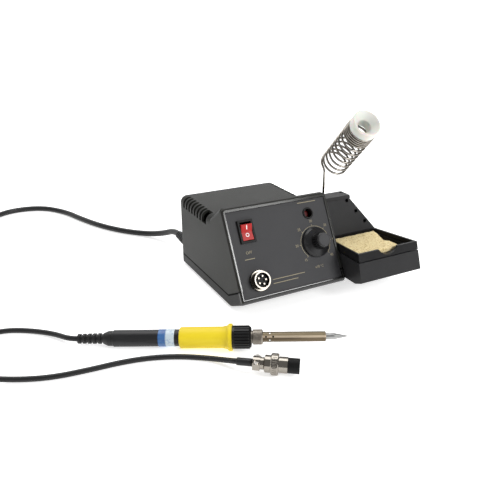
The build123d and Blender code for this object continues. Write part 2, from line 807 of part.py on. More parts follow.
with BuildPart() as switch_terminals:
    with BuildSketch(on_front(SWITCH_AT, panel_face - SWITCH_DEPTH)):
        with GridLocations(SPADE_PITCH[0], SPADE_PITCH[1], 2, 2):
            Rectangle(SPADE[0], SPADE[1])
    extrude(amount=-SPADE[2])
save(switch_terminals, "switch_terminals")

# Heater lamp: bezel tube with the lens sunk in it
lamp = out_of(on_front(LAMP_AT, panel_face))
with BuildPart() as lamp_bezel:
    turned(
        lamp,
        [
            (0, LAMP_BEZEL_R),
            (LAMP_REACH / 2, LAMP_BEZEL_R),
            (LAMP_REACH, LAMP_BEZEL_R - LAMP_REACH / 2),
            (LAMP_REACH, LAMP_R + RUNNING),
            (-LAMP_BEHIND, LAMP_R + RUNNING),
            (-LAMP_BEHIND, LAMP_SLEEVE_R),
            (0, LAMP_SLEEVE_R),
        ],
    )
save(lamp_bezel, "lamp_bezel")

with BuildPart() as heater_lamp:
    turned(
        lamp,
        [
            (-LAMP_BEHIND, 0),
            (-LAMP_BEHIND, LAMP_R),
            (-LAMP_SINK, LAMP_R),
            (LAMP_DOME / 2 - LAMP_SINK, LAMP_R * cos(radians(30))),
            (LAMP_DOME - LAMP_SINK, LAMP_R / 2),
            (LAMP_DOME - LAMP_SINK, 0),
        ],
    )
save(heater_lamp, "heater_lamp")

# Temperature dial: fluted knob on the shaft of a potentiometer
dial = out_of(on_front(DIAL_AT, panel_face))
with BuildPart() as temperature_knob:
    turned(
        dial,
        [
            (KNOB_GAP, KNOB_RECESS_R),
            (KNOB_GAP, KNOB_R),
            (KNOB_GAP + KNOB_RIM, KNOB_R),
            (KNOB_GAP + KNOB_RIM + KNOB_BEVEL, KNOB_R - KNOB_RIM),
            (KNOB_GAP + KNOB_FOOT, KNOB_GRIP_R + KNOB_FOOT_WIDTH),
            (KNOB_HEIGHT - KNOB_EDGE, KNOB_GRIP_R),
            (KNOB_HEIGHT, KNOB_GRIP_R - KNOB_EDGE),
            (KNOB_HEIGHT, 0),
            (KNOB_HEIGHT - KNOB_CAP, 0),
            (KNOB_HEIGHT - KNOB_CAP, SHAFT_R + RUNNING),
            (BUSH_REACH + BUSH_CLEAR, SHAFT_R + RUNNING),
            (BUSH_REACH + BUSH_CLEAR, KNOB_RECESS_R),
        ],
    )
    with BuildSketch(square_to(dial, FLUTES_FROM)):
        with PolarLocations(KNOB_GRIP_R + KNOB_FLUTE_R / 2, KNOB_FLUTES):
            Circle(KNOB_FLUTE_R)
    extrude(amount=KNOB_HEIGHT, mode=Mode.SUBTRACT)
save(temperature_knob, "temperature_knob")

with BuildPart() as potentiometer_shaft:
    shaft_rear = -PANEL_THICK - SHAFT_IN
    with BuildSketch(square_to(dial, shaft_rear)):
        Circle(SHAFT_R)
    extrude(amount=KNOB_HEIGHT - KNOB_CAP - RUNNING - shaft_rear)
save(potentiometer_shaft, "potentiometer_shaft")

with BuildPart() as potentiometer_body:
    turned(
        dial,
        [
            (-PANEL_THICK - POT_DEPTH, 0),
            (-PANEL_THICK - POT_DEPTH, POT_R),
            (-PANEL_THICK, POT_R),
            (-PANEL_THICK, BUSH_R),
            (BUSH_REACH, BUSH_R),
            (BUSH_REACH, SHAFT_R + RUNNING),
            (shaft_rear - SHAFT_END_GAP, SHAFT_R + RUNNING),
            (shaft_rear - SHAFT_END_GAP, 0),
        ],
    )
save(potentiometer_body, "potentiometer_body")

with BuildPart() as potentiometer_nut:
    with BuildSketch(square_to(dial, 0)):
        RegularPolygon(POT_NUT_R, 6)
        Circle(BUSH_R + RUNNING, mode=Mode.SUBTRACT)
    extrude(amount=POT_NUT_THICK)
save(potentiometer_nut, "potentiometer_nut")

# Socket for the iron's plug
socket = out_of(on_front(SOCKET_AT, panel_face))
with BuildPart() as socket_shell:
    turned(
        socket,
        [
            (0, SOCKET_FLANGE_R),
            (SOCKET_FLANGE, SOCKET_FLANGE_R),
            (SOCKET_FLANGE, SOCKET_R),
            (SOCKET_REACH, SOCKET_R),
            (SOCKET_REACH, SOCKET_BORE_R),
            (-SOCKET_BEHIND, SOCKET_BORE_R),
            (-SOCKET_BEHIND, SOCKET_R),
            (0, SOCKET_R),
        ],
    )
save(socket_shell, "socket_shell")

with BuildPart() as socket_insert:
    with BuildSketch(square_to(socket, -SOCKET_BEHIND)):
        Circle(SOCKET_BORE_R - RUNNING)
        with PolarLocations(PIN_CIRCLE_R, SOCKET_PINS):
            Circle(PIN_R + RUNNING, mode=Mode.SUBTRACT)
    extrude(amount=SOCKET_BEHIND + SOCKET_FACE)
save(socket_insert, "socket_insert")

with BuildPart() as socket_pins:
    with BuildSketch(square_to(socket, -SOCKET_BEHIND - SOCKET_FACE)):
        with PolarLocations(PIN_CIRCLE_R, SOCKET_PINS):
            Circle(PIN_R)
    extrude(amount=SOCKET_BEHIND + SOCKET_FACE + SOCKET_REACH - PIN_SINK)
save(socket_pins, "socket_pins")

with BuildPart() as socket_nut:
    with BuildSketch(square_to(socket, -PANEL_THICK)):
        RegularPolygon(SOCKET_NUT_R, 6)
        Circle(SOCKET_R + RUNNING, mode=Mode.SUBTRACT)
    extrude(amount=-SOCKET_NUT_THICK)
save(socket_nut, "socket_nut")

# Circuit board and what stands on it
with BuildPart() as circuit_board:
    with BuildSketch(level(board_z)):
        with Locations(BOARD_AT):
            Rectangle(*BOARD_SIZE)
        with Locations(*board_holes):
            Circle(SMALL_SCREW_R + RUNNING, mode=Mode.SUBTRACT)
    extrude(amount=BOARD_THICK)
save(circuit_board, "circuit_board")

board_top = board_z + BOARD_THICK
with BuildPart() as board_screws:
    with BuildSketch(level(board_top)):
        with Locations(*board_holes):
            Circle(SMALL_HEAD_R)
    extrude(amount=SMALL_HEAD)
    with BuildSketch(level(board_top)):
        with Locations(*board_holes):
            Circle(SMALL_SCREW_R - RUNNING)
    extrude(amount=SCREW_TAP - BOARD_THICK - SMALL_SCREW_BITE)
save(board_screws, "board_screws")

with BuildPart() as capacitor:
    with BuildSketch(level(board_top)):
        with Locations((BOARD_AT[0] - CAPACITOR_LEFT, BOARD_AT[1])):
            Circle(CAPACITOR_R)
    extrude(amount=CAPACITOR_HEIGHT)
save(capacitor, "capacitor")

with BuildPart() as triac:
    with BuildSketch(level(board_top)):
        with Locations((BOARD_AT[0] + TRIAC_RIGHT, BOARD_AT[1])):
            Rectangle(TRIAC_SIZE[0], TRIAC_SIZE[1])
    extrude(amount=TRIAC_SIZE[2])
save(triac, "triac")

with BuildPart() as terminal_block:
    with BuildSketch(level(board_top)):
        with Locations((BOARD_AT[0], BOARD_AT[1] + TERMINAL_BACK)):
            Rectangle(TERMINAL_SIZE[0], TERMINAL_SIZE[1])
    extrude(amount=TERMINAL_SIZE[2])
save(terminal_block, "terminal_block")

# Transformer: laminations with two windows, winding, clamp strap over them
window_width = (CORE_WIDTH - 4 * CORE_LIMB) / 2
window_height = CORE_HEIGHT - 2 * CORE_LIMB
core_mid_z = FLOOR_Z + CORE_HEIGHT / 2
with BuildPart() as transformer_core:
    with BuildSketch(back_plane(CORE_AT[1])):
        with Locations((CORE_AT[0], core_mid_z)):
            Rectangle(CORE_WIDTH, CORE_HEIGHT)
            with GridLocations(2 * CORE_LIMB + window_width, 0, 2, 1):
                Rectangle(window_width, window_height, mode=Mode.SUBTRACT)
    extrude(amount=CORE_STACK / 2, both=True)
save(transformer_core, "transformer_core")

with BuildPart() as transformer_coil:
    with BuildSketch(level(core_mid_z)):
        with Locations(CORE_AT):
            Rectangle(2 * (CORE_LIMB + window_width - CLEAR), CORE_STACK + 2 * COIL_BUILD)
            Rectangle(2 * (CORE_LIMB + CLEAR), CORE_STACK + 2 * CLEAR, mode=Mode.SUBTRACT)
    extrude(amount=window_height / 2 - CLEAR, both=True)
save(transformer_coil, "transformer_coil")

core_top = FLOOR_Z + CORE_HEIGHT
with BuildPart() as transformer_clamp:
    half = CORE_WIDTH / 2
    shape = [
        (-half - STRAP - STRAP_FOOT, strap_z),
        (-half, strap_z),
        (-half, core_top),
        (half, core_top),
        (half, strap_z),
        (half + STRAP + STRAP_FOOT, strap_z),
        (half + STRAP + STRAP_FOOT, strap_z + STRAP),
        (half + STRAP, strap_z + STRAP),
        (half + STRAP, core_top + STRAP),
        (-half - STRAP, core_top + STRAP),
        (-half - STRAP, strap_z + STRAP),
        (-half - STRAP - STRAP_FOOT, strap_z + STRAP),
    ]
    placed = [(x + CORE_AT[0], z) for x, z in shape]
    extrude(outline(back_plane(CORE_AT[1]), placed), amount=STRAP_WIDTH / 2, both=True)
    with BuildSketch(level(strap_z)):
        with Locations(*strap_holes):
            Circle(SMALL_SCREW_R + RUNNING)
    extrude(amount=STRAP, mode=Mode.SUBTRACT)
save(transformer_clamp, "transformer_clamp")

with BuildPart() as transformer_screws:
    with BuildSketch(level(strap_z + STRAP)):
        with Locations(*strap_holes):
            Circle(SMALL_HEAD_R)
    extrude(amount=SMALL_HEAD)
    with BuildSketch(level(strap_z + STRAP)):
        with Locations(*strap_holes):
            Circle(SMALL_SCREW_R - RUNNING)
    extrude(amount=SCREW_TAP - STRAP - STRAP_BOSS)
save(transformer_screws, "transformer_screws")

# Mains gland: flange inside the rear wall, neck through it, ribbed boot outside
gland = Plane(at(GLAND_AT[0], DEPTH, GLAND_AT[1]), x_dir=(0, 1, 0), z_dir=(-1, 0, 0))
with BuildPart() as mains_gland:
    rib = BOOT_LENGTH / (2 * BOOT_RIBS)
    boot = [(0, BOOT_R)]
    for i in range(BOOT_RIBS):
        radius = BOOT_R + (BOOT_END_R - BOOT_R) * (i + 1) / BOOT_RIBS
        boot += [
            (rib * (2 * i + 1), radius),
            (rib * (2 * i + 1), radius - BOOT_GROOVE),
            (rib * (2 * i + 2), radius - BOOT_GROOVE),
            (rib * (2 * i + 2), radius),
        ]
    boot[-1] = (BOOT_LENGTH, 0)
    flange_r = GLAND_R + GLAND_FLANGE
    inner_end = -WALL - GLAND_FLANGE
    inside = [(inner_end, 0), (inner_end, flange_r), (-WALL, flange_r), (-WALL, GLAND_R), (0, GLAND_R)]
    turned(gland, inside + boot)
save(mains_gland, "mains_gland")

# Iron rest: skirt under the sponge tray, leaning back plate with a ledge, hollow behind
front_run = (TRAY_FRONT_Y - TRAY_TOE_Y) / (TRAY_RIM_Z - TRAY_TOE_Z)
taper = (TRAY_WIDTH - TRAY_REAR_WIDTH) / (TRAY_REAR_Y - TRAY_FRONT_Y)
front_far = TRAY_TOE_Y - REST_WALL


def tray_front(z):
    """y of the tray's leaning front at a height."""
    return TRAY_TOE_Y + front_run * (z - TRAY_TOE_Z)


def rest_plan(inset):
    """Plan of the rest, tapering to the rear, set in from its faces."""
    right = HALF + TRAY_WIDTH - inset * sqrt(1 + taper**2)
    return [
        (HALF + inset, front_far),
        (right + taper * (TRAY_FRONT_Y - front_far), front_far),
        (right - taper * (REST_BACK_Y + REST_WALL - TRAY_FRONT_Y), REST_BACK_Y + REST_WALL),
        (HALF + inset, REST_BACK_Y + REST_WALL),
    ]


def tray_block(inset, low, high, rear_high, upright=False):
    """Solid as the tray, set in from its faces, between two heights; its front leans or stands upright."""
    step = inset * sqrt(1 + front_run**2)
    rear = TRAY_REAR_Y - max(inset, TRAY_GAP)
    foot, brow = [tray_front(TRAY_RIM_Z if upright else z) + step for z in (low, high)]
    shape = [(foot, low), (rear, low), (rear, rear_high), (brow, high)]
    with BuildPart() as block:
        extrude(outline(side_plane(HALF + max(inset, TRAY_GAP)), shape), amount=2 * TRAY_WIDTH)
        extrude(outline(level(0), rest_plan(inset)), amount=2 * TRAY_RIM_Z, mode=Mode.INTERSECT)
    return block.part


plate_lean = (PLATE_TOP_Y - TRAY_REAR_Y) / (PLATE_TOP_Z - TRAY_REAR_Z)
plate_back = REST_WALL * sqrt(1 + plate_lean**2)
edge_run = (TRAY_REAR_WIDTH - PLATE_TOP_WIDTH) / (PLATE_TOP_Z - TRAY_REAR_Z)
edge_in = REST_WALL * sqrt(1 + edge_run**2)
ledge_under = LEDGE_TOP_Z - REST_WALL
rest_floor = REST_BOTTOM_Z + REST_WALL
spring_axis = Vector(
    sin(radians(SPRING_LEAN)) * sin(radians(SPRING_SWING)),
    -sin(radians(SPRING_LEAN)) * cos(radians(SPRING_SWING)),
    cos(radians(SPRING_LEAN)),
)
spring_across = (cos(radians(SPRING_SWING)), sin(radians(SPRING_SWING)), 0)
spring_foot = at(HALF + SPRING_FOOT[0], SPRING_FOOT[1], SPRING_FOOT[2])
spring_plane = Plane(spring_foot, x_dir=spring_across, z_dir=spring_axis)


def eased(angle, start, span):
    """Turns counted from a start that eases in over a span of degrees."""
    share = min(max((angle - start) / span, 0), 1)
    return (span * (share**3 - share**4 / 2) + max(angle - start - span, 0)) / 360


def spring_rise(angle):
    """How far the wire has climbed: a close step, opened after the first bend and closed again under the cup."""
    opened = eased(angle, FLAT_ANGLE, OPENING_ANGLE) - eased(angle, OPEN_ANGLE, CLOSING_ANGLE)
    return CLOSE_STEP * angle / 360 + (SPRING_STEP - CLOSE_STEP) * opened


def helix(t):
    """Line of the spring's wire, wound clockwise up its axis from just below its left side."""
    angle = t + radians(START_ANGLE)
    place = (-SPRING_R * cos(angle), SPRING_R * sin(angle), spring_rise(degrees(t)))
    return spring_plane.from_local_coords(place)


spring_length = spring_rise(360 * SPRING_TURNS)


helix_start = helix(0)
helix_way = tangent_of(helix, 0)
bend = STEM_BEND_R * tan(radians(helix_way.get_angle(Vector(0, 0, 1))) / 2)
stem_corner = helix_start - helix_way * bend
stem_low = Vector(stem_corner.X, stem_corner.Y, LEDGE_TOP_Z - STEM_SINK)
plate_plane = Plane(
    at(HALF, TRAY_REAR_Y, TRAY_REAR_Z), x_dir=(1, 0, 0), z_dir=Vector(0, -1, plate_lean).normalized()
)

with BuildPart() as rest_hollow:
    shape = [
        (TRAY_REAR_Y + plate_back, rest_floor),
        (TRAY_REAR_Y + plate_back, TRAY_REAR_Z),
        (TRAY_REAR_Y + plate_back + plate_lean * (ledge_under - TRAY_REAR_Z), ledge_under),
        (REST_BACK_Y + REST_WALL, ledge_under),
        (REST_BACK_Y + REST_WALL, rest_floor),
    ]
    extrude(outline(side_plane(HALF + REST_WALL), shape), amount=TRAY_WIDTH)
    right = HALF + TRAY_REAR_WIDTH - edge_in
    face = [
        (HALF + REST_WALL, rest_floor),
        (right, rest_floor),
        (right, TRAY_REAR_Z),
        (right - edge_run * (ledge_under - TRAY_REAR_Z), ledge_under),
        (HALF + REST_WALL, ledge_under),
    ]
    extrude(outline(back_plane(0), face), amount=-2 * REST_BACK_Y, mode=Mode.INTERSECT)
    extrude(outline(level(0), rest_plan(REST_WALL)), amount=LEDGE_TOP_Z, mode=Mode.INTERSECT)

rest_well = tray_block(REST_WALL, WELL_FLOOR_Z, TRAY_RIM_Z, TRAY_RIM_Z)
with BuildPart() as rest_body:
    shape = [
        (TRAY_CHIN_Y, REST_BOTTOM_Z),
        (TRAY_TOE_Y, TRAY_TOE_Z),
        (tray_front(TRAY_SEAM_Z), TRAY_SEAM_Z),
        (TRAY_REAR_Y, TRAY_SEAM_Z),
        (TRAY_REAR_Y, TRAY_REAR_Z),
        (PLATE_TOP_Y, PLATE_TOP_Z),
        (LEDGE_FRONT_Y, PLATE_TOP_Z),
        (LEDGE_FRONT_Y, LEDGE_TOP_Z),
        (REST_BACK_Y, LEDGE_TOP_Z),
        (REST_BACK_Y, REST_BOTTOM_Z),
    ]
    extrude(outline(side_plane(HALF), shape), amount=2 * TRAY_WIDTH)
    extrude(outline(level(0), rest_plan(0)), amount=LEDGE_TOP_Z, mode=Mode.INTERSECT)
    over_edge = [
        (HALF + TRAY_REAR_WIDTH, TRAY_REAR_Z),
        (HALF + PLATE_TOP_WIDTH, PLATE_TOP_Z),
        (HALF + PLATE_TOP_WIDTH - REST_WALL, LEDGE_TOP_Z + REST_WALL),
        (HALF + 2 * TRAY_WIDTH, LEDGE_TOP_Z + REST_WALL),
        (HALF + 2 * TRAY_WIDTH, TRAY_REAR_Z),
    ]
    extrude(outline(back_plane(0), over_edge), amount=-2 * REST_BACK_Y, mode=Mode.SUBTRACT)
    add(rest_well, mode=Mode.SUBTRACT)
    add(rest_hollow.part, mode=Mode.SUBTRACT)
    with BuildSketch(side_plane(HALF + REST_WALL / 2)):
        with Locations(*REST_SCREWS_YZ):
            Circle(POST_R)
    extrude(amount=SCREW_BITE)
    with BuildSketch(side_plane(HALF)):
        with Locations(*REST_SCREWS_YZ):
            Circle(SCREW_R + RUNNING)
    extrude(amount=SCREW_BITE - SCREW_TAP, mode=Mode.SUBTRACT)
    with BuildSketch(Plane(stem_low - Vector(0, 0, REST_WALL))):
        Circle(STEM_BOSS_R)
    extrude(amount=STEM_SINK + REST_WALL / 2)
    with BuildSketch(Plane(stem_low)):
        Circle(WIRE_R + RUNNING)
    extrude(amount=2 * STEM_SINK, mode=Mode.SUBTRACT)
    tip_places = []
    for i in range(TIP_HOLES):
        up = TIP_HOLE_FIRST + i * TIP_HOLE_STEP
        tip_places.append((TRAY_REAR_WIDTH - edge_run * up - TIP_HOLE_INSET, up))
    ledge_hole = (HALF + PLATE_TOP_WIDTH - LEDGE_HOLE_INSET, LEDGE_HOLE_Y)
    for plane, places in ((plate_plane, tip_places), (level(LEDGE_TOP_Z), [ledge_hole])):
        with BuildSketch(plane.offset(-REST_WALL / 2)):
            with Locations(*places):
                Circle(TIP_HOLE_R + TIP_SLEEVE)
        extrude(amount=-TIP_HOLE_DEPTH)
        with BuildSketch(plane):
            with Locations(*places):
                Circle(TIP_HOLE_R)
        extrude(amount=-TIP_HOLE_DEPTH, mode=Mode.SUBTRACT)
save(rest_body, "rest_body")

with BuildPart() as rest_screws:
    with BuildSketch(side_plane(HALF - WALL)):
        with Locations(*REST_SCREWS_YZ):
            Circle(SCREW_HEAD_R)
    extrude(amount=-SCREW_HEAD)
    with BuildSketch(side_plane(HALF - WALL)):
        with Locations(*REST_SCREWS_YZ):
            Circle(SCREW_R)
    extrude(amount=WALL + SCREW_BITE - 2 * SCREW_TAP)
save(rest_screws, "rest_screws")

# Lift-out tray: rim band flush with the skirt, tub inside it, notch for the tip
seam_top = TRAY_SEAM_Z + SEAM_GAP
tub_inset = REST_WALL + TUB_CLEAR
clear_z = 2 * TRAY_RIM_Z
rim_band = tray_block(0, seam_top, TRAY_RIM_Z, TRAY_REAR_Z)
tub_top = seam_top + RIM_STEP / 2
tub = tray_block(tub_inset, WELL_FLOOR_Z + RUNNING, tub_top, tub_top, upright=True)
tub_room = tray_block(tub_inset + TUB_WALL, TUB_FLOOR_Z, clear_z, clear_z, upright=True)
rim_room = tray_block(REST_WALL, seam_top + RIM_STEP, clear_z, clear_z)
with BuildPart() as sponge_tray:
    add(rim_band)
    add(tub)
    add(tub_room, mode=Mode.SUBTRACT)
    add(rim_room, mode=Mode.SUBTRACT)
    notch_r = ((NOTCH_WIDTH / 2) ** 2 + NOTCH_DEPTH**2) / (2 * NOTCH_DEPTH)
    with BuildSketch(back_plane(TRAY_FRONT_Y)):
        with Locations((HALF + TRAY_WIDTH / 2, TRAY_RIM_Z - NOTCH_DEPTH + notch_r)):
            Circle(notch_r)
    extrude(amount=4 * REST_WALL, both=True, mode=Mode.SUBTRACT)
save(sponge_tray, "sponge_tray")

with BuildPart() as cleaning_sponge:
    sponge_low = TUB_FLOOR_Z + RUNNING
    plan = [(HALF + x, y) for x, y in SPONGE_PLAN]
    extrude(outline(level(sponge_low), plan), amount=SPONGE_TOP_Z - sponge_low)
save(cleaning_sponge, "cleaning_sponge")

# Spring rest: one wire, stem in the ledge, bend, coil; cup pushed into its mouth
with BuildPart() as spring_rest:
    last = 2 * pi * SPRING_TURNS
    stem_high = Vector(stem_corner.X, stem_corner.Y, stem_corner.Z - bend)
    bend_arc = Edge.make_tangent_arc(stem_high, Vector(0, 0, 1), helix_start)
    wire = Wire([Edge.make_line(stem_low, stem_high), bend_arc] + wind(helix, last, 2 * SPRING_TURNS))
    tube(wire, WIRE_R)
    least_gap("spring", helix, last, WIRE_R)
    drawn = pi * WIRE_R**2 * wire.length
    print(f"spring: wire {wire.length:.0f} mm, volume to section x length {spring_rest.part.volume / drawn:.4f}")
save(spring_rest, "spring_rest")

cup = Plane(spring_plane.origin, x_dir=spring_plane.z_dir, z_dir=spring_plane.y_dir)
cup_foot = spring_length + WIRE_R + RUNNING
cup_top = cup_foot + FUNNEL_LENGTH
spigot_r = SPRING_R - WIRE_R - 3 * RUNNING
with BuildPart() as rest_funnel:
    turned(
        cup,
        [
            (cup_foot, spigot_r),
            (cup_foot, FUNNEL_R),
            (cup_top - FUNNEL_RIM / 2, FUNNEL_R),
            (cup_top, FUNNEL_R - FUNNEL_RIM / 2),
            (cup_top, FUNNEL_R - FUNNEL_RIM),
            (cup_foot + FUNNEL_THROAT, FUNNEL_HOLE_R),
            (cup_foot - FUNNEL_SPIGOT, FUNNEL_HOLE_R),
            (cup_foot - FUNNEL_SPIGOT, spigot_r),
        ],
    )
save(rest_funnel, "rest_funnel")

# Iron, lying on its flange and the rear of its handle
raise_angle = degrees(atan2(FLANGE_R - HANDLE_R, FLANGE_AT))
iron = lying(*IRON_TAIL_XY, HANDLE_R * cos(radians(raise_angle)), IRON_HEADING, raise_angle)
grip_end = FLANGE_AT + FLANGE_THICK
ring_end = grip_end + RING_LENGTH
nut_from = ring_end + NECK_LENGTH
nut_end = nut_from + NUT_LENGTH
barrel_end = nut_end + BARREL_LENGTH
tip_end = barrel_end + TIP_LENGTH

with BuildPart() as iron_handle:
    turned(
        iron,
        [
            (0, HANDLE_BORE_R),
            (0, HANDLE_R - HANDLE_EDGE),
            (HANDLE_EDGE, HANDLE_R),
            (GRIP_FROM, HANDLE_R),
            (GRIP_FROM, GRIP_BORE_R),
            (grip_end, GRIP_BORE_R),
            (grip_end, HANDLE_BORE_R),
        ],
    )
save(iron_handle, "iron_handle")

with BuildPart() as handle_label:
    turned(
        iron,
        [
            (LABEL_FROM, HANDLE_R),
            (LABEL_FROM, HANDLE_R + LABEL_THICK),
            (LABEL_TO, HANDLE_R + LABEL_THICK),
            (LABEL_TO, HANDLE_R),
        ],
    )
save(handle_label, "handle_label")

with BuildPart() as iron_grip:
    turned(
        iron,
        [
            (GRIP_FROM + RUNNING, GRIP_BORE_R + RUNNING),
            (GRIP_FROM + RUNNING, GRIP_R - GRIP_EDGE),
            (GRIP_FROM + GRIP_EDGE, GRIP_R),
            (FLANGE_AT - GRIP_FLARE, GRIP_R),
            (FLANGE_AT - GRIP_FLARE / 3, GRIP_R + (FLANGE_R - GRIP_R) / 3),
            (FLANGE_AT, FLANGE_R),
            (grip_end, FLANGE_R),
            (grip_end, GRIP_BORE_R + RUNNING),
        ],
    )
save(iron_grip, "iron_grip")

with BuildPart() as lock_ring:
    turned(
        iron,
        [
            (grip_end, HANDLE_BORE_R),
            (grip_end, RING_R),
            (ring_end - RING_EDGE, RING_R),
            (ring_end, RING_R - RING_EDGE),
            (ring_end, BARREL_R + RUNNING),
            (grip_end + RING_FLOOR, BARREL_R + RUNNING),
            (grip_end + RING_FLOOR, HANDLE_BORE_R),
        ],
    )
    with BuildSketch(square_to(iron, grip_end + RIBS_FROM)):
        with PolarLocations(RING_R + RIB_GROOVE_R / 3, RING_RIBS):
            Circle(RIB_GROOVE_R)
    extrude(amount=RING_LENGTH, mode=Mode.SUBTRACT)
save(lock_ring, "lock_ring")

with BuildPart() as barrel_nut:
    turned(
        iron,
        [
            (ring_end, BARREL_R + RUNNING),
            (ring_end, NUT_R - NUT_NECK),
            (nut_from, NUT_R - NUT_NECK),
            (nut_from, NUT_R - NUT_NECK / 2),
            (nut_from + NUT_NECK / 2, NUT_R),
            (nut_end - NUT_EDGE, NUT_R),
            (nut_end, NUT_R - NUT_EDGE),
            (nut_end, BARREL_R + RUNNING),
        ],
    )
    with BuildSketch(square_to(iron, nut_from + KNURL_LAND)):
        with PolarLocations(NUT_R + KNURL_R / 3, NUT_KNURLS):
            Circle(KNURL_R)
    extrude(amount=NUT_LENGTH - 2 * KNURL_LAND, mode=Mode.SUBTRACT)
save(barrel_nut, "barrel_nut")

barrel_from = grip_end + RING_FLOOR + RUNNING
bore_r = BARREL_R - BARREL_WALL
with BuildPart() as heater_barrel:
    turned(
        iron,
        [
            (barrel_from, bore_r),
            (barrel_from, BARREL_R),
            (barrel_end - BARREL_WALL, BARREL_R),
            (barrel_end, bore_r),
            (barrel_end, TIP_R + RUNNING),
            (barrel_end - BARREL_LIP, TIP_R + RUNNING),
            (barrel_end - BARREL_LIP, bore_r),
        ],
    )
    for row in range(HOLE_ROWS):
        for quarter in (0, 90):
            roll = radians(HOLES_ROLL + quarter + 45 * row)
            drill_way = iron.z_dir * sin(roll) - iron.y_dir * cos(roll)
            with BuildSketch(Plane(iron.origin, x_dir=iron.x_dir, z_dir=drill_way)):
                with Locations((nut_end + HOLES_FROM + row * HOLES_STEP, 0)):
                    Circle(BARREL_HOLE_R)
            extrude(amount=2 * BARREL_R, both=True, mode=Mode.SUBTRACT)
save(heater_barrel, "heater_barrel")

heater_end = barrel_end - HEATER_SHORT
with BuildPart() as heating_element:
    with BuildSketch(square_to(iron, barrel_from + HEATER_BACK)):
        Circle(HEATER_R)
    extrude(amount=heater_end - barrel_from - HEATER_BACK)
save(heating_element, "heating_element")

collar_end = barrel_end - BARREL_LIP - RUNNING
with BuildPart() as soldering_tip:
    turned(
        iron,
        [
            (barrel_end - TIP_SHANK, HEATER_R + RUNNING),
            (barrel_end - TIP_SHANK, TIP_R),
            (collar_end - TIP_COLLAR, TIP_R),
            (collar_end - TIP_COLLAR, bore_r - RUNNING),
            (collar_end, bore_r - RUNNING),
            (collar_end, TIP_R),
            (barrel_end + TIP_STRAIGHT, TIP_R),
            (tip_end - TIP_POINT, TIP_POINT_R * 1.5),
            (tip_end, TIP_POINT_R),
            (tip_end, 0),
            (heater_end + HEATER_END_GAP, 0),
            (heater_end + HEATER_END_GAP, HEATER_R + RUNNING),
        ],
    )
save(soldering_tip, "soldering_tip")

with BuildPart() as iron_relief:
    rib = (RELIEF_LENGTH - RELIEF_FLANGE) / (2 * RELIEF_RIBS)
    shape = [(RELIEF_SEAT, 0), (RELIEF_SEAT, HANDLE_BORE_R - RUNNING), (0, HANDLE_BORE_R - RUNNING)]
    shape += [(0, RELIEF_FLANGE_R), (-RELIEF_FLANGE / 2, RELIEF_FLANGE_R), (-RELIEF_FLANGE, RELIEF_R)]
    for i in range(RELIEF_RIBS):
        near = -RELIEF_FLANGE - rib * 2 * i
        radius = RELIEF_R + (RELIEF_END_R - RELIEF_R) * i / RELIEF_RIBS
        shape += [(near, radius - RELIEF_GROOVE), (near - rib, radius - RELIEF_GROOVE)]
        shape += [(near - rib, radius), (near - 2 * rib, radius)]
    turned(iron, shape + [(-RELIEF_LENGTH, 0)])
save(iron_relief, "iron_relief")

# Plug of the iron's lead, lying on its coupling ring
plug = lying(*PLUG_XY, PLUG_RING_R, PLUG_HEADING)
neck_end = PLUG_CLAMP_LENGTH + PLUG_NECK_LENGTH
back_end = neck_end + PLUG_BACK_LENGTH
groove_end = back_end + PLUG_RING_LENGTH + 2 * PLUG_RING_GAP
shell_end = groove_end + PLUG_FRONT_LENGTH
plug_end = shell_end + PLUG_NOSE_LENGTH
with BuildPart() as plug_shell:
    turned(
        plug,
        [
            (PLUG_CLAMP_LENGTH, 0),
            (PLUG_CLAMP_LENGTH, PLUG_NECK_R),
            (neck_end, PLUG_NECK_R),
            (neck_end + PLUG_SHOULDER, PLUG_R),
            (back_end, PLUG_R),
            (back_end, PLUG_RING_BORE_R - RUNNING),
            (groove_end, PLUG_RING_BORE_R - RUNNING),
            (groove_end, PLUG_FRONT_R),
            (shell_end, PLUG_FRONT_R),
            (shell_end, 0),
        ],
    )
save(plug_shell, "plug_shell")

screw_pitch = PLUG_CLAMP_LUG - 4 * CLAMP_SCREW_R
clamp_place = plug.from_local_coords((PLUG_CLAMP_LENGTH / 2, PLUG_CLAMP_R / 2, 0))
clamp_seat = Plane(clamp_place, x_dir=plug.x_dir, z_dir=plug.y_dir)
with BuildPart() as plug_clamp:
    with BuildSketch(square_to(plug, 0)):
        Circle(PLUG_CLAMP_R)
        Rectangle(PLUG_CLAMP_R, PLUG_CLAMP_LUG)
    extrude(amount=PLUG_CLAMP_LENGTH)
    with BuildSketch(clamp_seat):
        with GridLocations(0, screw_pitch, 1, 2):
            Circle(CLAMP_SCREW_R + RUNNING)
    extrude(amount=-2 * PLUG_CLAMP_R, mode=Mode.SUBTRACT)
    with BuildSketch(clamp_seat):
        with GridLocations(0, screw_pitch, 1, 2):
            Circle(CLAMP_HEAD_R + RUNNING)
    extrude(amount=PLUG_CLAMP_R, mode=Mode.SUBTRACT)
save(plug_clamp, "plug_clamp")

with BuildPart() as clamp_screws:
    with BuildSketch(clamp_seat):
        with GridLocations(0, screw_pitch, 1, 2):
            Circle(CLAMP_SCREW_R)
    extrude(amount=-PLUG_CLAMP_R)
    with BuildSketch(clamp_seat):
        with GridLocations(0, screw_pitch, 1, 2):
            Circle(CLAMP_HEAD_R)
    extrude(amount=CLAMP_SCREW_R)
save(clamp_screws, "clamp_screws")

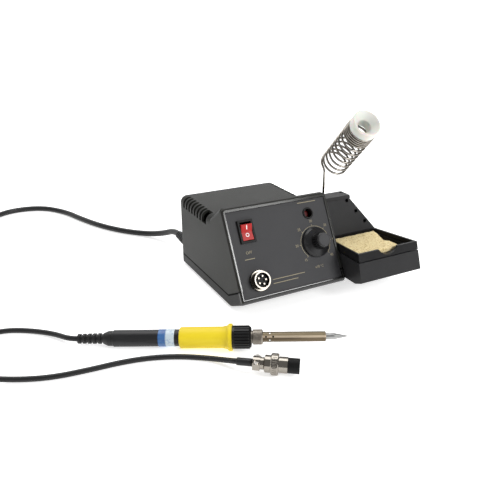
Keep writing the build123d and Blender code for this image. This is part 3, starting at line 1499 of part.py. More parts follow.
with BuildPart() as plug_ring:
    ring_from = back_end + PLUG_RING_GAP
    plug_ring_end = ring_from + PLUG_RING_LENGTH
    turned(
        plug,
        [
            (ring_from, PLUG_RING_BORE_R),
            (ring_from, PLUG_RING_R - PLUG_RING_EDGE),
            (ring_from + PLUG_RING_EDGE, PLUG_RING_R),
            (plug_ring_end - PLUG_RING_EDGE, PLUG_RING_R),
            (plug_ring_end, PLUG_RING_R - PLUG_RING_EDGE),
            (plug_ring_end, PLUG_RING_BORE_R),
        ],
    )
    with BuildSketch(square_to(plug, ring_from + KNURL_LAND)):
        with PolarLocations(PLUG_RING_R + KNURL_R / 3, PLUG_RING_KNURLS, start_angle=180 / PLUG_RING_KNURLS):
            Circle(KNURL_R)
    extrude(amount=PLUG_RING_LENGTH - 2 * KNURL_LAND, mode=Mode.SUBTRACT)
save(plug_ring, "plug_ring")

with BuildPart() as plug_nose:
    with BuildSketch(square_to(plug, shell_end)):
        Circle(PLUG_NOSE_R)
    extrude(amount=PLUG_NOSE_LENGTH)
    with BuildSketch(square_to(plug, plug_end)):
        with PolarLocations(PIN_CIRCLE_R, SOCKET_PINS):
            Circle(PIN_R + CLEAR)
    extrude(amount=PLUG_FLOOR - PLUG_NOSE_LENGTH, mode=Mode.SUBTRACT)
save(plug_nose, "plug_nose")

# Lead of the iron: relief to coil, coil, coil to plug
lead_line = coil_curve(LEAD_COIL_AT, LEAD_COIL_TURNS, LEAD_COIL_INNER_R, LEAD_R, 90, 1)
with BuildPart() as lead_coil:
    lead_in, lead_out = wound_lead("lead coil", lead_line, LEAD_COIL_TURNS, LEAD_R, 2 * LEAD_R)
save(lead_coil, "lead_coil")

relief_end = iron.from_local_coords((-RELIEF_LENGTH, 0, 0))
with BuildPart() as iron_cord:
    way_in = tangent_of(lead_line, 0)
    route = [relief_end, relief_end - iron.x_dir * RELIEF_RUN_OUT]
    route += [at(*place) for place in LEAD_ROUTE]
    route += [lead_in - way_in * LEAD_RUN_OUT, lead_in]
    lay("iron cord", route, LEAD_R)
save(iron_cord, "iron_cord")

with BuildPart() as plug_cord:
    way_out = tangent_of(lead_line, 2 * pi * LEAD_COIL_TURNS)
    route = [lead_out, lead_out + way_out * LEAD_RUN_OUT]
    route += [at(*place) for place in PLUG_ROUTE]
    route += [plug.origin - plug.x_dir * LEAD_RUN_OUT, plug.origin]
    lay("plug cord", route, LEAD_R)
save(plug_cord, "plug_cord")

# Mains lead: gland to coil, coil, flat plug on its end
mains_line = coil_curve(MAINS_COIL_AT, MAINS_COIL_TURNS, MAINS_COIL_INNER_R, MAINS_R, 0, -1)
with BuildPart() as mains_coil:
    mains_in, mains_out = wound_lead("mains coil", mains_line, MAINS_COIL_TURNS, MAINS_R, MAINS_RUN_OUT)
save(mains_coil, "mains_coil")

with BuildPart() as mains_cord:
    way_in = tangent_of(mains_line, 0)
    route = [gland.from_local_coords((BOOT_LENGTH + run, 0, 0)) for run in (0, LEAD_RUN_OUT)]
    route += [at(*place) for place in MAINS_ROUTE]
    route += [mains_in - way_in * MAINS_RUN_IN, mains_in]
    lay("mains cord", route, MAINS_R)
save(mains_cord, "mains_cord")

mains_way = tangent_of(mains_line, 2 * pi * MAINS_COIL_TURNS)
across = Vector(mains_way.Y, -mains_way.X, 0).normalized()
plug_thick = 2 * mains_out.Z
with BuildPart() as mains_plug:
    rear = Plane(mains_out, x_dir=across, z_dir=mains_way)
    tail_end = rear.offset(PLUG_TAIL_LENGTH)
    with BuildSketch(rear):
        Circle(MAINS_R + PLUG_TAIL_EDGE)
    with BuildSketch(tail_end):
        Circle(plug_thick / 2 - PLUG_TAIL_EDGE)
    loft()
    with BuildSketch(tail_end):
        RectangleRounded(PLUG_WIDTH, plug_thick, plug_thick / 3)
    extrude(amount=PLUG_LENGTH)
save(mains_plug, "mains_plug")

with BuildPart() as mains_plug_pins:
    with BuildSketch(tail_end.offset(PLUG_LENGTH)):
        with GridLocations(MAINS_PIN_PITCH, 0, 2, 1):
            Circle(MAINS_PIN_R)
    extrude(amount=MAINS_PIN_LENGTH)
save(mains_plug_pins, "mains_plug_pins")
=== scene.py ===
# %% [markdown]
# A bench soldering station: a grey plastic housing with a sloping control panel, a black side rest with a
# spring holder and a sponge tray, and a loose iron on a lead with a round plug. The solid model carries
# every rigid shape, so this script gives finishes to those solids and adds what solids cannot show well:
# the leads, the wire spring, the sponge, and the print on the panel.

import bmesh
import bpy
import numpy as np
from mathutils import Matrix, Vector


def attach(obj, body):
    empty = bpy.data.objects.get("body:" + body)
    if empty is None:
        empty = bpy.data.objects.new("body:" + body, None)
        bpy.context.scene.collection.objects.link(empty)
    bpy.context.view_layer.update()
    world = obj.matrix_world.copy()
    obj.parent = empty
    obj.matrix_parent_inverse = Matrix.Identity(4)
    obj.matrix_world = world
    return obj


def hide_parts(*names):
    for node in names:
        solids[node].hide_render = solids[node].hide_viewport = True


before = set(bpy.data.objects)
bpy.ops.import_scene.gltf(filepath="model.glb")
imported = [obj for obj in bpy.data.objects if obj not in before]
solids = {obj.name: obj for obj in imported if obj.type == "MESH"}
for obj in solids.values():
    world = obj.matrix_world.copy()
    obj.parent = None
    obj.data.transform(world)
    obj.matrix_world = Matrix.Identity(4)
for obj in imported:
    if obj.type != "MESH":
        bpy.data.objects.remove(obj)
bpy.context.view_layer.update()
print("solids loaded:", len(solids))

# %% [markdown]
# All places below are read off the housing: x from its centre line, y from the foot of its sloping front,
# z from the table, in millimetres. One function turns them into the model's own metres. A second one does
# the same for places on the sloping panel, given as across, up the slope and out of it.

# %% Places on the table and on the panel
MIDDLE = np.array([-32.8135, 44.4924, 0.0])
TILT = np.radians(29.1)
PANEL_FOOT_Z = 18.2
PANEL_HALF = 39.0
PANEL_SINK = 1.0
ACROSS = np.array([1.0, 0.0, 0.0])
UPRIGHT = np.array([0.0, 0.0, 1.0])
UPHILL = np.array([0.0, np.sin(TILT), np.cos(TILT)])
OUTWARD = np.array([0.0, -np.cos(TILT), np.sin(TILT)])


def place(points):
    """Housing millimetres to model metres: subtract the footprint's middle, then divide by 1000."""
    return (np.asarray(points, float) - MIDDLE) / 1000


def on_panel(across, up, out=0.0):
    """Panel place to model metres: foot + across * x + up * uphill + (out - sink) * outward."""
    across, up, out = np.broadcast_arrays(across, up, out)
    steps = np.stack([across, up, out - PANEL_SINK], -1) @ np.stack([ACROSS, UPHILL, OUTWARD])
    return place(steps + [0, 0, PANEL_FOOT_Z])


print("panel middle:", on_panel(0, PANEL_HALF).round(4))

# %% [markdown]
# The photograph was taken from the front left, a little above the table. A camera is a place, a direction
# and a lens. Its three axes are written out from a yaw and a fall, which is easier to check than a
# rotation in degrees.

# %% Camera
EYE = (-255.368, -393.539, 253.632)
YAW = np.radians(-27.893)
FALL = np.radians(22.961)
LENS_MM = 41.52
SENSOR_MM = 36.0
NEAREST = 0.01
right = np.array([np.cos(YAW), np.sin(YAW), 0.0])
back = np.array([np.sin(YAW) * np.cos(FALL), -np.cos(YAW) * np.cos(FALL), np.sin(FALL)])
lens = bpy.data.cameras.new("bench_camera")
lens.lens = LENS_MM
lens.sensor_width = SENSOR_MM
lens.clip_start = NEAREST
camera = bpy.data.objects.new("bench_camera", lens)
turn = Matrix(np.stack([right, np.cross(back, right), back], 1).tolist()).to_4x4()
camera.matrix_world = Matrix.Translation(Vector(place(EYE))) @ turn
bpy.context.scene.collection.objects.link(camera)
bpy.context.scene.camera = camera
print("camera at", [round(c, 3) for c in camera.location])

# %% [markdown]
# The iron lies on the table on its handle's end and on the flange of its grip, so its axis rises a little
# towards the tip. The plug lies level beside it. Both directions come first, because the lead leaves the
# iron along one and enters the plug along the other.

# %% Directions of the iron and the plug
IRON_TAIL = np.array([-165.2, 11.5])
IRON_HEADING = np.radians(-30.95)
HANDLE_R = 6.75
FLANGE_R = 10.9
FLANGE_AT = 93.5
IRON_RISE = np.arctan2(FLANGE_R - HANDLE_R, FLANGE_AT)
PLUG_REAR = np.array([-83.2, -73.3, 8.3])
PLUG_HEADING = np.radians(-36.1)
iron_way = np.array(
    [
        np.cos(IRON_HEADING) * np.cos(IRON_RISE),
        np.sin(IRON_HEADING) * np.cos(IRON_RISE),
        np.sin(IRON_RISE),
    ]
)
iron_tail = np.array([*IRON_TAIL, HANDLE_R * np.cos(IRON_RISE)])
plug_way = np.array([np.cos(PLUG_HEADING), np.sin(PLUG_HEADING), 0.0])
print("the iron rises by", round(float(np.degrees(IRON_RISE)), 2), "degrees")

# %% [markdown]
# The spare length of each lead is put away in a neat coil out of view. A coil could be a stack of rings,
# but it has to be one line with the rest of its lead. So it is a spiral that comes in on the table,
# climbs one layer in its heart and goes out again over itself.

# %% Coils of spare lead
LEAD_R = 2.2
MAINS_R = 3.3
COIL_GAP = 0.9
COIL_POINTS = 16
COIL_HEART = np.pi / 4


def coil(middle, turns, inner, wire, start, hand):
    """Two-layer coil: radius = inner + step/2pi * sqrt(past^2 + heart^2), past counted from its heart."""
    step = 2 * wire + COIL_GAP
    t = np.linspace(0, 2 * np.pi * turns, int(turns * COIL_POINTS) + 1)
    past = t - np.pi * turns
    radius = inner + step / (2 * np.pi) * np.sqrt(past**2 + COIL_HEART**2)
    climb = np.clip(past / np.pi + 0.5, 0, 1)
    height = wire + step * (3 * climb**2 - 2 * climb**3)
    angle = np.radians(start) + hand * t
    return np.stack([middle[0] + radius * np.cos(angle), middle[1] + radius * np.sin(angle), height], 1)


lead_coil = coil((-291.0, 36.0), turns=5.5, inner=16.5, wire=LEAD_R, start=90, hand=1)
mains_coil = coil((-283.0, 292.0), turns=4.5, inner=27.0, wire=MAINS_R, start=0, hand=-1)
print("coil points:", len(lead_coil), len(mains_coil))

# %% [markdown]
# The leads are flexible, so each follows a handful of places: straight out of its ribbed boot, down to
# the table, along it in loose curves, and through its coil. The lead of the iron then comes back to its
# plug, and the mains lead runs straight on to its own.

# %% Routes of the two leads
RELIEF_LENGTH = 29.0
RUN_OUT = 8.0
RUN_IN = 12.0
MAINS_TAIL = 38.0
LEAD_TO_COIL = [
    (-205.0, 47.5, 2.9),
    (-222.0, 64.0, 2.2),
    (-242.0, 75.0, 2.2),
    (-262.0, 73.0, 2.2),
    (-274.5, 67.8, 2.2),
]
LEAD_TO_PLUG = [
    (-274.5, 5.0, 7.5),
    (-266.0, 5.2, 6.4),
    (-246.0, -2.0, 2.2),
    (-220.0, -13.0, 2.2),
    (-191.4, -16.4, 2.2),
    (-169.0, -17.6, 2.2),
    (-146.7, -22.0, 2.2),
    (-125.5, -31.0, 2.2),
    (-107.0, -43.5, 2.2),
    (-96.0, -57.0, 4.6),
]
MAINS_TO_COIL = [
    (-45.5, 173.7, 19.0),
    (-45.5, 185.7, 19.0),
    (-51.5, 207.0, 9.5),
    (-63.5, 229.0, 3.3),
    (-85.0, 250.0, 3.3),
    (-105.5, 281.0, 3.3),
    (-121.5, 319.0, 3.3),
    (-134.0, 357.0, 3.3),
    (-159.0, 390.0, 3.3),
    (-199.0, 395.0, 3.3),
    (-229.0, 371.0, 3.3),
    (-239.5, 335.0, 3.3),
    (-240.0, 316.0, 3.3),
]
relief_end = iron_tail - RELIEF_LENGTH * iron_way
run_out = iron_tail - (RELIEF_LENGTH + RUN_OUT) * iron_way
run_in = PLUG_REAR - RUN_IN * plug_way
lead_route = np.vstack([relief_end, run_out, LEAD_TO_COIL, lead_coil, LEAD_TO_PLUG, run_in, PLUG_REAR])
last_step = mains_coil[-1] - mains_coil[-2]
mains_end = mains_coil[-1] + last_step / np.linalg.norm(last_step) * MAINS_TAIL
mains_route = np.vstack([MAINS_TO_COIL, mains_coil, mains_end])
print("lead points:", len(lead_route), len(mains_route))

# %% [markdown]
# A lead could be a swept mesh, but a spline with a round section stays one line that can be measured. The
# section is one metre thick and each point scales it down to the lead's own radius, because the box of a
# curve is read from its points.

# %% Leads
SPLINE_ORDER = 3
SPLINE_STEPS = 6
SECTION_STEPS = 4


def lay_lead(name, route, radius):
    """Round lead: one NURBS spline with the route as control points; tube radius = bevel * point radius."""
    line = bpy.data.curves.new(name, "CURVE")
    line.dimensions = "3D"
    line.resolution_u = SPLINE_STEPS
    line.bevel_depth = 1.0
    line.bevel_resolution = SECTION_STEPS
    line.use_fill_caps = True
    spline = line.splines.new("NURBS")
    spline.points.add(len(route) - 1)
    spots = np.hstack([place(route), np.ones((len(route), 1))])
    spline.points.foreach_set("co", spots.ravel())
    spline.points.foreach_set("radius", np.full(len(route), radius / 1000))
    spline.order_u = SPLINE_ORDER
    spline.use_endpoint_u = True
    lead = bpy.data.objects.new(name, line)
    bpy.context.scene.collection.objects.link(lead)
    return lead


iron_lead = lay_lead("iron_lead", lead_route, LEAD_R)
mains_lead = lay_lead("mains_lead", mains_route, MAINS_R)
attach(iron_lead, "iron")
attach(mains_lead, "station")
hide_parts("iron_cord", "lead_coil", "plug_cord")
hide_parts("mains_cord", "mains_coil")
print("leads laid:", iron_lead.name, mains_lead.name)

# %% [markdown]
# Every new rigid piece here is a small profile carried along a path: a wire, a print's thin stroke, a cap
# turned round an axis. Whole arrays of points are worked out at once, and the faces follow from the grid.
# Normals are made to point outwards at the end, so a profile may be listed either way round.

# %% Profile carried along a path
MERGE_WITHIN = 1e-7
SLIVER = 1e-8
WIRE_SIDES = 12


def as_mesh(name, points, faces, smooth):
    """Mesh object at the origin from points and faces, its doubles merged, facing outwards."""
    mesh = bpy.data.meshes.new(name)
    mesh.from_pydata(points.reshape(-1, 3).tolist(), [], faces)
    shape = bmesh.new()
    shape.from_mesh(mesh)
    bmesh.ops.remove_doubles(shape, verts=shape.verts, dist=MERGE_WITHIN)
    bmesh.ops.dissolve_degenerate(shape, edges=shape.edges, dist=SLIVER)
    bmesh.ops.recalc_face_normals(shape, faces=shape.faces)
    shape.to_mesh(mesh)
    shape.free()
    mesh.polygons.foreach_set("use_smooth", np.full(len(mesh.polygons), smooth))
    piece = bpy.data.objects.new(name, mesh)
    bpy.context.scene.collection.objects.link(piece)
    return piece


def grid_faces(index):
    """Quads between neighbouring rows of a grid of point numbers, each row closed on itself."""
    beside = np.roll(index, -1, axis=1)
    return np.stack([index[:-1], index[1:], beside[1:], beside[:-1]], -1).reshape(-1, 4).tolist()


def carried(name, path, side, up, profile, ring=False, smooth=False):
    """Point (i, j) = path[i] + profile[j, 0] * side[i] + profile[j, 1] * up[i]; ends capped unless a ring."""
    path = np.asarray(path, float)
    side = np.broadcast_to(side, path.shape)
    up = np.broadcast_to(up, path.shape)
    profile = np.asarray(profile, float)
    points = path[:, None] + profile[None, :, :1] * side[:, None] + profile[None, :, 1:] * up[:, None]
    rows, count = points.shape[:2]
    index = np.arange(rows * count).reshape(rows, count)
    if ring:
        index = np.vstack([index, index[:1]])
    faces = grid_faces(index)
    if not ring:
        faces += [index[0].tolist(), index[-1].tolist()]
    return as_mesh(name, points, faces, smooth)


def unit(v):
    """Arrows scaled to length one along their last axis."""
    return v / np.linalg.norm(v, axis=-1, keepdims=True)


def around(count):
    """So many even angles once round, without the last one that would double the first."""
    return np.linspace(0, 2 * np.pi, count, endpoint=False)


WIRE_SECTION = np.stack([np.cos(around(WIRE_SIDES)), np.sin(around(WIRE_SIDES))], 1)
print("sides of a wire:", len(WIRE_SECTION))

# %% [markdown]
# A short sleeve keeps the lead from kinking where it enters the plug's clamp. It could be a tube of its
# own anywhere, but it has to sit on the lead, so its line is worked out from the last three points of the
# lead's spline: a spline of order 3 runs there as a single parabola, from the middle of the first two
# points to the last.

# %% Sleeve on the lead
SLEEVE_R = 3.0
SLEEVE_SPAN = (0.35, 0.97)
SLEEVE_STEPS = 12
ends = np.array([point.co[:3] for point in iron_lead.data.splines[0].points[-3:]])
s = np.linspace(*SLEEVE_SPAN, SLEEVE_STEPS)[:, None]
sleeve_line = (1 - s) ** 2 * (ends[0] + ends[1]) / 2 + 2 * s * (1 - s) * ends[1] + s**2 * ends[2]
sleeve_way = unit(np.gradient(sleeve_line, axis=0))
sleeve_side = unit(np.cross(sleeve_way, UPRIGHT))
sleeve_up = np.cross(sleeve_side, sleeve_way)
sleeve_section = SLEEVE_R / 1000 * WIRE_SECTION
sleeve = carried("lead_sleeve", sleeve_line, sleeve_side, sleeve_up, sleeve_section, smooth=True)
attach(sleeve, "iron")
print("sleeve length:", np.linalg.norm(np.diff(sleeve_line, axis=0), axis=1).sum().round(4))

# %% [markdown]
# The holder is one bright steel wire: a stem that stands in the ledge, a bend, and a coil that the iron
# drops into. The coil's line is a helix about a leaning axis, close at its foot, then open, and close
# again under the cup. Its climb eases from one step to the other, so the wire has no kink there.

# %% Coil of the spring holder
SPRING_FOOT = np.array([72.93, 53.03, 112.33])
SPRING_LEAN = np.radians(46.96)
SPRING_SWING = np.radians(-5.41)
SPRING_R = 12.5
SPRING_TURNS = 12
SPRING_STEP = 6.9
CLOSE_STEP = 2.5
FLAT_TURNS = 0.3
OPENING_TURNS = 0.6
OPEN_TURNS = 7.2
CLOSING_TURNS = 1.3
START_ANGLE = np.radians(-9.0)
TURN_STEPS = 48
spring_way = np.array(
    [
        np.sin(SPRING_LEAN) * np.sin(SPRING_SWING),
        -np.sin(SPRING_LEAN) * np.cos(SPRING_SWING),
        np.cos(SPRING_LEAN),
    ]
)
spring_x = np.array([np.cos(SPRING_SWING), np.sin(SPRING_SWING), 0.0])
spring_y = np.cross(spring_way, spring_x)
turns = np.linspace(0, SPRING_TURNS, TURN_STEPS * SPRING_TURNS)[:, None]


def eased(start, span):
    """Turns counted from a start that eases in: span * (s^3 - s^4 / 2), then one for one."""
    share = np.clip((turns - start) / span, 0, 1)
    return span * (share**3 - share**4 / 2) + np.maximum(turns - start - span, 0)


opened = eased(FLAT_TURNS, OPENING_TURNS) - eased(OPEN_TURNS, CLOSING_TURNS)
climb = CLOSE_STEP * turns + (SPRING_STEP - CLOSE_STEP) * opened
angle = START_ANGLE + 2 * np.pi * turns
helix = SPRING_FOOT + SPRING_R * (np.sin(angle) * spring_y - np.cos(angle) * spring_x) + climb * spring_way
print("spring height along its axis:", float(climb[-1, 0].round(2)))

# %% [markdown]
# The bend is a round arc with the stem's direction at its start and the coil's at its end. It could be
# left a sharp corner, as it is small, but real wire is never bent so tightly. The wire's section keeps
# one side along the coil's axis, which stops it from twisting.

# %% Stem, bend and wire of the spring holder
WIRE_R = 1.0
BEND_R = 8.0
BEND_STEPS = 14
STEM_FOOT_Z = 73.1
round_way = np.sin(START_ANGLE) * spring_x + np.cos(START_ANGLE) * spring_y
start_way = unit(SPRING_R * round_way + CLOSE_STEP / (2 * np.pi) * spring_way)
bend_turn = np.arccos(start_way[2])
reach = BEND_R * np.tan(bend_turn / 2)
corner = helix[0] - reach * start_way
stem = np.stack([[corner[0], corner[1], STEM_FOOT_Z], corner - [0, 0, reach]])
s = np.linspace(0, bend_turn, BEND_STEPS)[1:-1, None]
bend_in = unit(start_way - start_way[2] * UPRIGHT)
bend = stem[1] + BEND_R * (np.sin(s) * UPRIGHT + (1 - np.cos(s)) * bend_in)
wire_line = np.vstack([stem, bend, helix])
wire_way = unit(np.gradient(wire_line, axis=0))
wire_side = unit(spring_way - (wire_way @ spring_way)[:, None] * wire_way)
wire_up = np.cross(wire_way, wire_side)
spring_section = WIRE_R / 1000 * WIRE_SECTION
spring = carried("spring_wire", place(wire_line), wire_side, wire_up, spring_section, smooth=True)
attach(spring, "station")
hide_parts("spring_rest")
print("wire faces:", len(spring.data.polygons))

# %% [markdown]
# The cleaning sponge is a pale cellulose slab, cut on a slant with a tab at its right. A slab with a soft
# rim is a grid in two parameters: once round the outline, and from the middle of the underside over the
# edge to the middle of the top.

# %% Sponge slab
SPONGE_PLAN = np.array(
    [
        (59.1, -11.5),
        (107.5, -11.5),
        (107.5, 1.0),
        (104.5, 3.0),
        (103.5, 6.0),
        (109.0, 22.0),
        (110.5, 30.1),
        (59.1, 30.1),
    ]
)
SPONGE_HUB = np.array([83.0, 9.0])
SPONGE_LOW = 25.05
SPONGE_TOP = 44.2
SPONGE_ROUND = 1.6
ROUND_STEPS = 420
UNDER_RINGS = 8
WALL_RINGS = 10
RIM_RINGS = 6
TOP_RINGS = 70
UNDER_SHARE = (0.02, 0.9)
TOP_SHARE = (0.985, 0.0)
loop = np.vstack([SPONGE_PLAN, SPONGE_PLAN[:1]])
run = np.concatenate([[0], np.cumsum(np.linalg.norm(np.diff(loop, axis=0), axis=1))])
where = np.linspace(0, run[-1], ROUND_STEPS, endpoint=False)
edge = np.stack([np.interp(where, run, loop[:, 0]), np.interp(where, run, loop[:, 1])], 1)
spokes = edge - SPONGE_HUB
soft = np.linspace(0, np.pi / 2, RIM_RINGS)
wall_top = SPONGE_TOP - SPONGE_ROUND
under = np.linspace(*UNDER_SHARE, UNDER_RINGS)
over = np.linspace(*TOP_SHARE, TOP_RINGS)
share = np.concatenate([under, np.ones(WALL_RINGS + RIM_RINGS), over])
rim_pull = SPONGE_ROUND * (1 - np.cos(soft))
pull = np.concatenate([np.zeros(UNDER_RINGS + WALL_RINGS), rim_pull, np.full(TOP_RINGS, SPONGE_ROUND)])
rise = np.concatenate(
    [
        np.full(UNDER_RINGS, SPONGE_LOW),
        np.linspace(SPONGE_LOW, wall_top, WALL_RINGS),
        SPONGE_TOP - SPONGE_ROUND * (1 - np.sin(soft)),
        np.full(TOP_RINGS, SPONGE_TOP),
    ]
)[:, None]
length = np.linalg.norm(spokes, axis=1)
grow = np.clip(share[:, None] - pull[:, None] * share[:, None] / length[None], 0, 1)
flat = SPONGE_HUB + grow[..., None] * spokes[None]
print("sponge grid:", flat.shape[:2])

# %% [markdown]
# Hundreds of small seeded dents make the open pores of the top, and a broad wave keeps it from being
# flat. They could be left to the material, but a pore at the rim shows in the outline. A point sinks by
# the deepest dent that reaches it.

# %% Pores of the sponge
PORES = 900
PORES_X = (58, 111)
PORES_Y = (-12, 31)
PORE_R = (0.2, 0.5)
TOP_SINK = 0.12
WAVE = 0.12
WAVE_X = 0.55
WAVE_Y = 0.4
RIM_SHARE = 0.9
chance = np.random.default_rng(7)
pore_at = np.stack([chance.uniform(*PORES_X, PORES), chance.uniform(*PORES_Y, PORES)], 1)
pore_r = chance.uniform(*PORE_R, PORES)
apart2 = ((flat.reshape(-1, 1, 2) - pore_at[None]) ** 2).sum(-1)
dents = (pore_r * np.exp(-apart2 / pore_r**2)).max(1).reshape(flat.shape[:2])
wave = WAVE * np.sin(flat[..., 0] * WAVE_X) * np.cos(flat[..., 1] * WAVE_Y)
height = rise - np.where(rise > SPONGE_TOP - RIM_SHARE * SPONGE_ROUND, dents + TOP_SINK + wave, 0.0)
sponge_points = place(np.concatenate([flat, height[..., None]], -1))
index = np.arange(sponge_points.shape[0] * ROUND_STEPS).reshape(-1, ROUND_STEPS)
sponge_faces = grid_faces(index) + [index[0].tolist()]
sponge = as_mesh("sponge_slab", sponge_points, sponge_faces, True)
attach(sponge, "sponge")
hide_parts("cleaning_sponge")
print("sponge faces:", len(sponge.data.polygons))

# %% [markdown]
# The panel's print is a thin film of pale gold ink. Each stroke is a flat bar, less than a tenth of a
# millimetre high, carried along a line on the slope. Letters come from the built-in font, are made a mesh
# first, and are then laid on the slope.

# %% Strokes and letters of ink
INK = 0.06
INK_LIFT = 0.01
to_m = 1 / 1000
bar = np.array([(-0.5, 0.0), (0.5, 0.0), (0.5, 1.0), (-0.5, 1.0)])
prints = []


def stroke(name, across, up, width):
    """Bar of ink along a line on the panel: its sides run square to the line, in the panel."""
    line = on_panel(np.asarray(across, float), np.asarray(up, float), INK_LIFT)
    sideways = np.cross(unit(np.gradient(line, axis=0)), OUTWARD)
    prints.append(carried(name, line, sideways, OUTWARD, bar * [width * to_m, INK * to_m]))


def letters(name, text, size, across, up):
    """Built-in letters as a mesh, turned into the panel and moved to their place."""
    words = bpy.data.curves.new(name, "FONT")
    words.body = text
    words.size = size * to_m
    words.extrude = INK * to_m / 2
    words.align_x = "CENTER"
    words.align_y = "CENTER"
    maker = bpy.data.objects.new(name, words)
    bpy.context.scene.collection.objects.link(maker)
    bpy.context.view_layer.update()
    mesh = bpy.data.meshes.new_from_object(maker.evaluated_get(bpy.context.evaluated_depsgraph_get()))
    bpy.data.objects.remove(maker)
    facing = Matrix(np.stack([ACROSS, UPHILL, OUTWARD], 1).tolist()).to_4x4()
    mesh.transform(Matrix.Translation(Vector(on_panel(across, up, INK / 2 + INK_LIFT))) @ facing)
    piece = bpy.data.objects.new(name, mesh)
    bpy.context.scene.collection.objects.link(piece)
    prints.append(piece)


print("ink film:", INK, "mm")

# %% [markdown]
# Round the dial stand an arc, seven ticks and seven plain numbers. Below it is the unit, and under the
# switch a plain word. Plain rules fill the places under the switch, over the lamp and beside the socket.

# %% Print on the panel
DIAL = (32.2, 37.0)
ARC_R = 15.6
TICK_END = 17.3
NUMBER_R = 20.3
NUMBER_SIZE = 3.4
STROKE = 0.42
ARC_STEPS = 80
DIAL_FROM = 225
DIAL_TO = -45
DIAL_STEP = 45
DIAL_VALUES = range(15, 50, 5)
WORDS = (
    ("dial_unit", "x10 °C", 3.2, 30.3, 14.4),
    ("switch_off", "OFF", 3.6, -37.2, 40.1),
)
RULES = (
    ("switch_rule", (-42.6, -32.8), 34.3, 0.7),
    ("lamp_rule", (22.5, 42.5), 76.0, 0.7),
    ("socket_rule_upper", (-20.5, 13.5), 12.2, 0.6),
    ("socket_rule_lower", (-20.5, 5.5), 8.6, 0.6),
)


def by_dial(radius, angle):
    """Place on the panel at a radius and an angle from the dial's middle: across, up."""
    return DIAL[0] + radius * np.cos(angle), DIAL[1] + radius * np.sin(angle)


stroke("dial_arc", *by_dial(ARC_R, np.radians(np.linspace(DIAL_FROM, DIAL_TO, ARC_STEPS))), STROKE)
for step, value in enumerate(DIAL_VALUES):
    angle = np.radians(DIAL_FROM - DIAL_STEP * step)
    stroke(f"dial_tick_{value}", *by_dial(np.array([ARC_R, TICK_END]), angle), STROKE)
    letters(f"dial_number_{value}", str(value), NUMBER_SIZE, *by_dial(NUMBER_R, angle))
for name, text, size, across, up in WORDS:
    letters(name, text, size, across, up)
for name, across, up, width in RULES:
    stroke(name, across, (up, up), width)
for piece in prints:
    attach(piece, "station")
print("print pieces:", len(prints))

# %% [markdown]
# The rocker carries a white bar for on and a white ring for off, one on each half of its shallow V. Both
# lie in the slanted faces of the rocker, which rests with its lower half pressed in, so their places are
# worked out from the rocker's own turned directions.

# %% Marks on the rocker
SWITCH = (-35.4, 59.0)
PIVOT_SINK = 2.8
ROCKER_TURN = np.radians(10)
ROCKER_HALF = 7.2
ROCKER_END = 3.4 + PIVOT_SINK
ROCKER_DIP = 1.4 + PIVOT_SINK
MARK_HIGH = 0.05
ON_AT = 4.6
ON_HALF = 2.0
ON_WIDE = 0.9
OFF_AT = 2.5
OFF_R = 1.45
OFF_WIDE = 0.7
OFF_STEPS = 36
pivot = on_panel(*SWITCH, -PIVOT_SINK)
rocker_up = np.cos(ROCKER_TURN) * UPHILL + np.sin(ROCKER_TURN) * OUTWARD
rocker_out = np.cos(ROCKER_TURN) * OUTWARD - np.sin(ROCKER_TURN) * UPHILL


def on_rocker(half, along):
    """Place on the V's upper (+1) or lower (-1) face, so far from its crease, and the face's directions."""
    way = unit(half * ROCKER_HALF * rocker_up + (ROCKER_END - ROCKER_DIP) * rocker_out)
    facing = np.cross(ACROSS, half * way)
    return pivot + (ROCKER_DIP * rocker_out + along * way) * to_m, half * way, facing


spot, way, facing = on_rocker(1, ON_AT)
bar_line = spot + np.array([-ON_HALF, ON_HALF])[:, None] * to_m * way
on_mark = carried("rocker_on_mark", bar_line, ACROSS, facing, bar * [ON_WIDE * to_m, MARK_HIGH * to_m])
spot, way, facing = on_rocker(-1, OFF_AT)
off_turn = around(OFF_STEPS)[:, None]
outwards = np.cos(off_turn) * ACROSS + np.sin(off_turn) * way
off_line = spot + OFF_R * to_m * outwards
off_bar = bar * [OFF_WIDE * to_m, MARK_HIGH * to_m]
off_mark = carried("rocker_off_mark", off_line, outwards, facing, off_bar, ring=True)
for piece in (on_mark, off_mark):
    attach(piece, "rocker")
print("rocker marks:", on_mark.name, off_mark.name)

# %% [markdown]
# The knob has a grey cap with a fine raised rim. A cap is a profile turned round an axis: the same flat
# outline carried along a path that stays in one place while its sideways direction goes once round.

# %% Cap on the knob
CAP_STEPS = 64
CAP_PROFILE = np.array(
    [(0.0, 15.5), (5.6, 15.5), (6.0, 15.6), (6.0, 16.0), (5.7, 16.25), (5.2, 16.1), (0.0, 16.1)]
)
spin = around(CAP_STEPS)[:, None]
cap_sides = np.cos(spin) * ACROSS + np.sin(spin) * UPHILL
cap_line = np.repeat(on_panel(*DIAL)[None], CAP_STEPS, 0)
knob_cap = carried("knob_cap", cap_line, cap_sides, OUTWARD, CAP_PROFILE * to_m, ring=True)
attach(knob_cap, "dial")
print("cap faces:", len(knob_cap.data.polygons))

# %% [markdown]
# Finishes are written as small sums. A field is a number that changes over a surface, and adding or
# multiplying fields adds the nodes that do it. All patterns read the object's own coordinates in metres,
# so a grain of half a millimetre is a noise of two thousand per metre, on every piece alike.

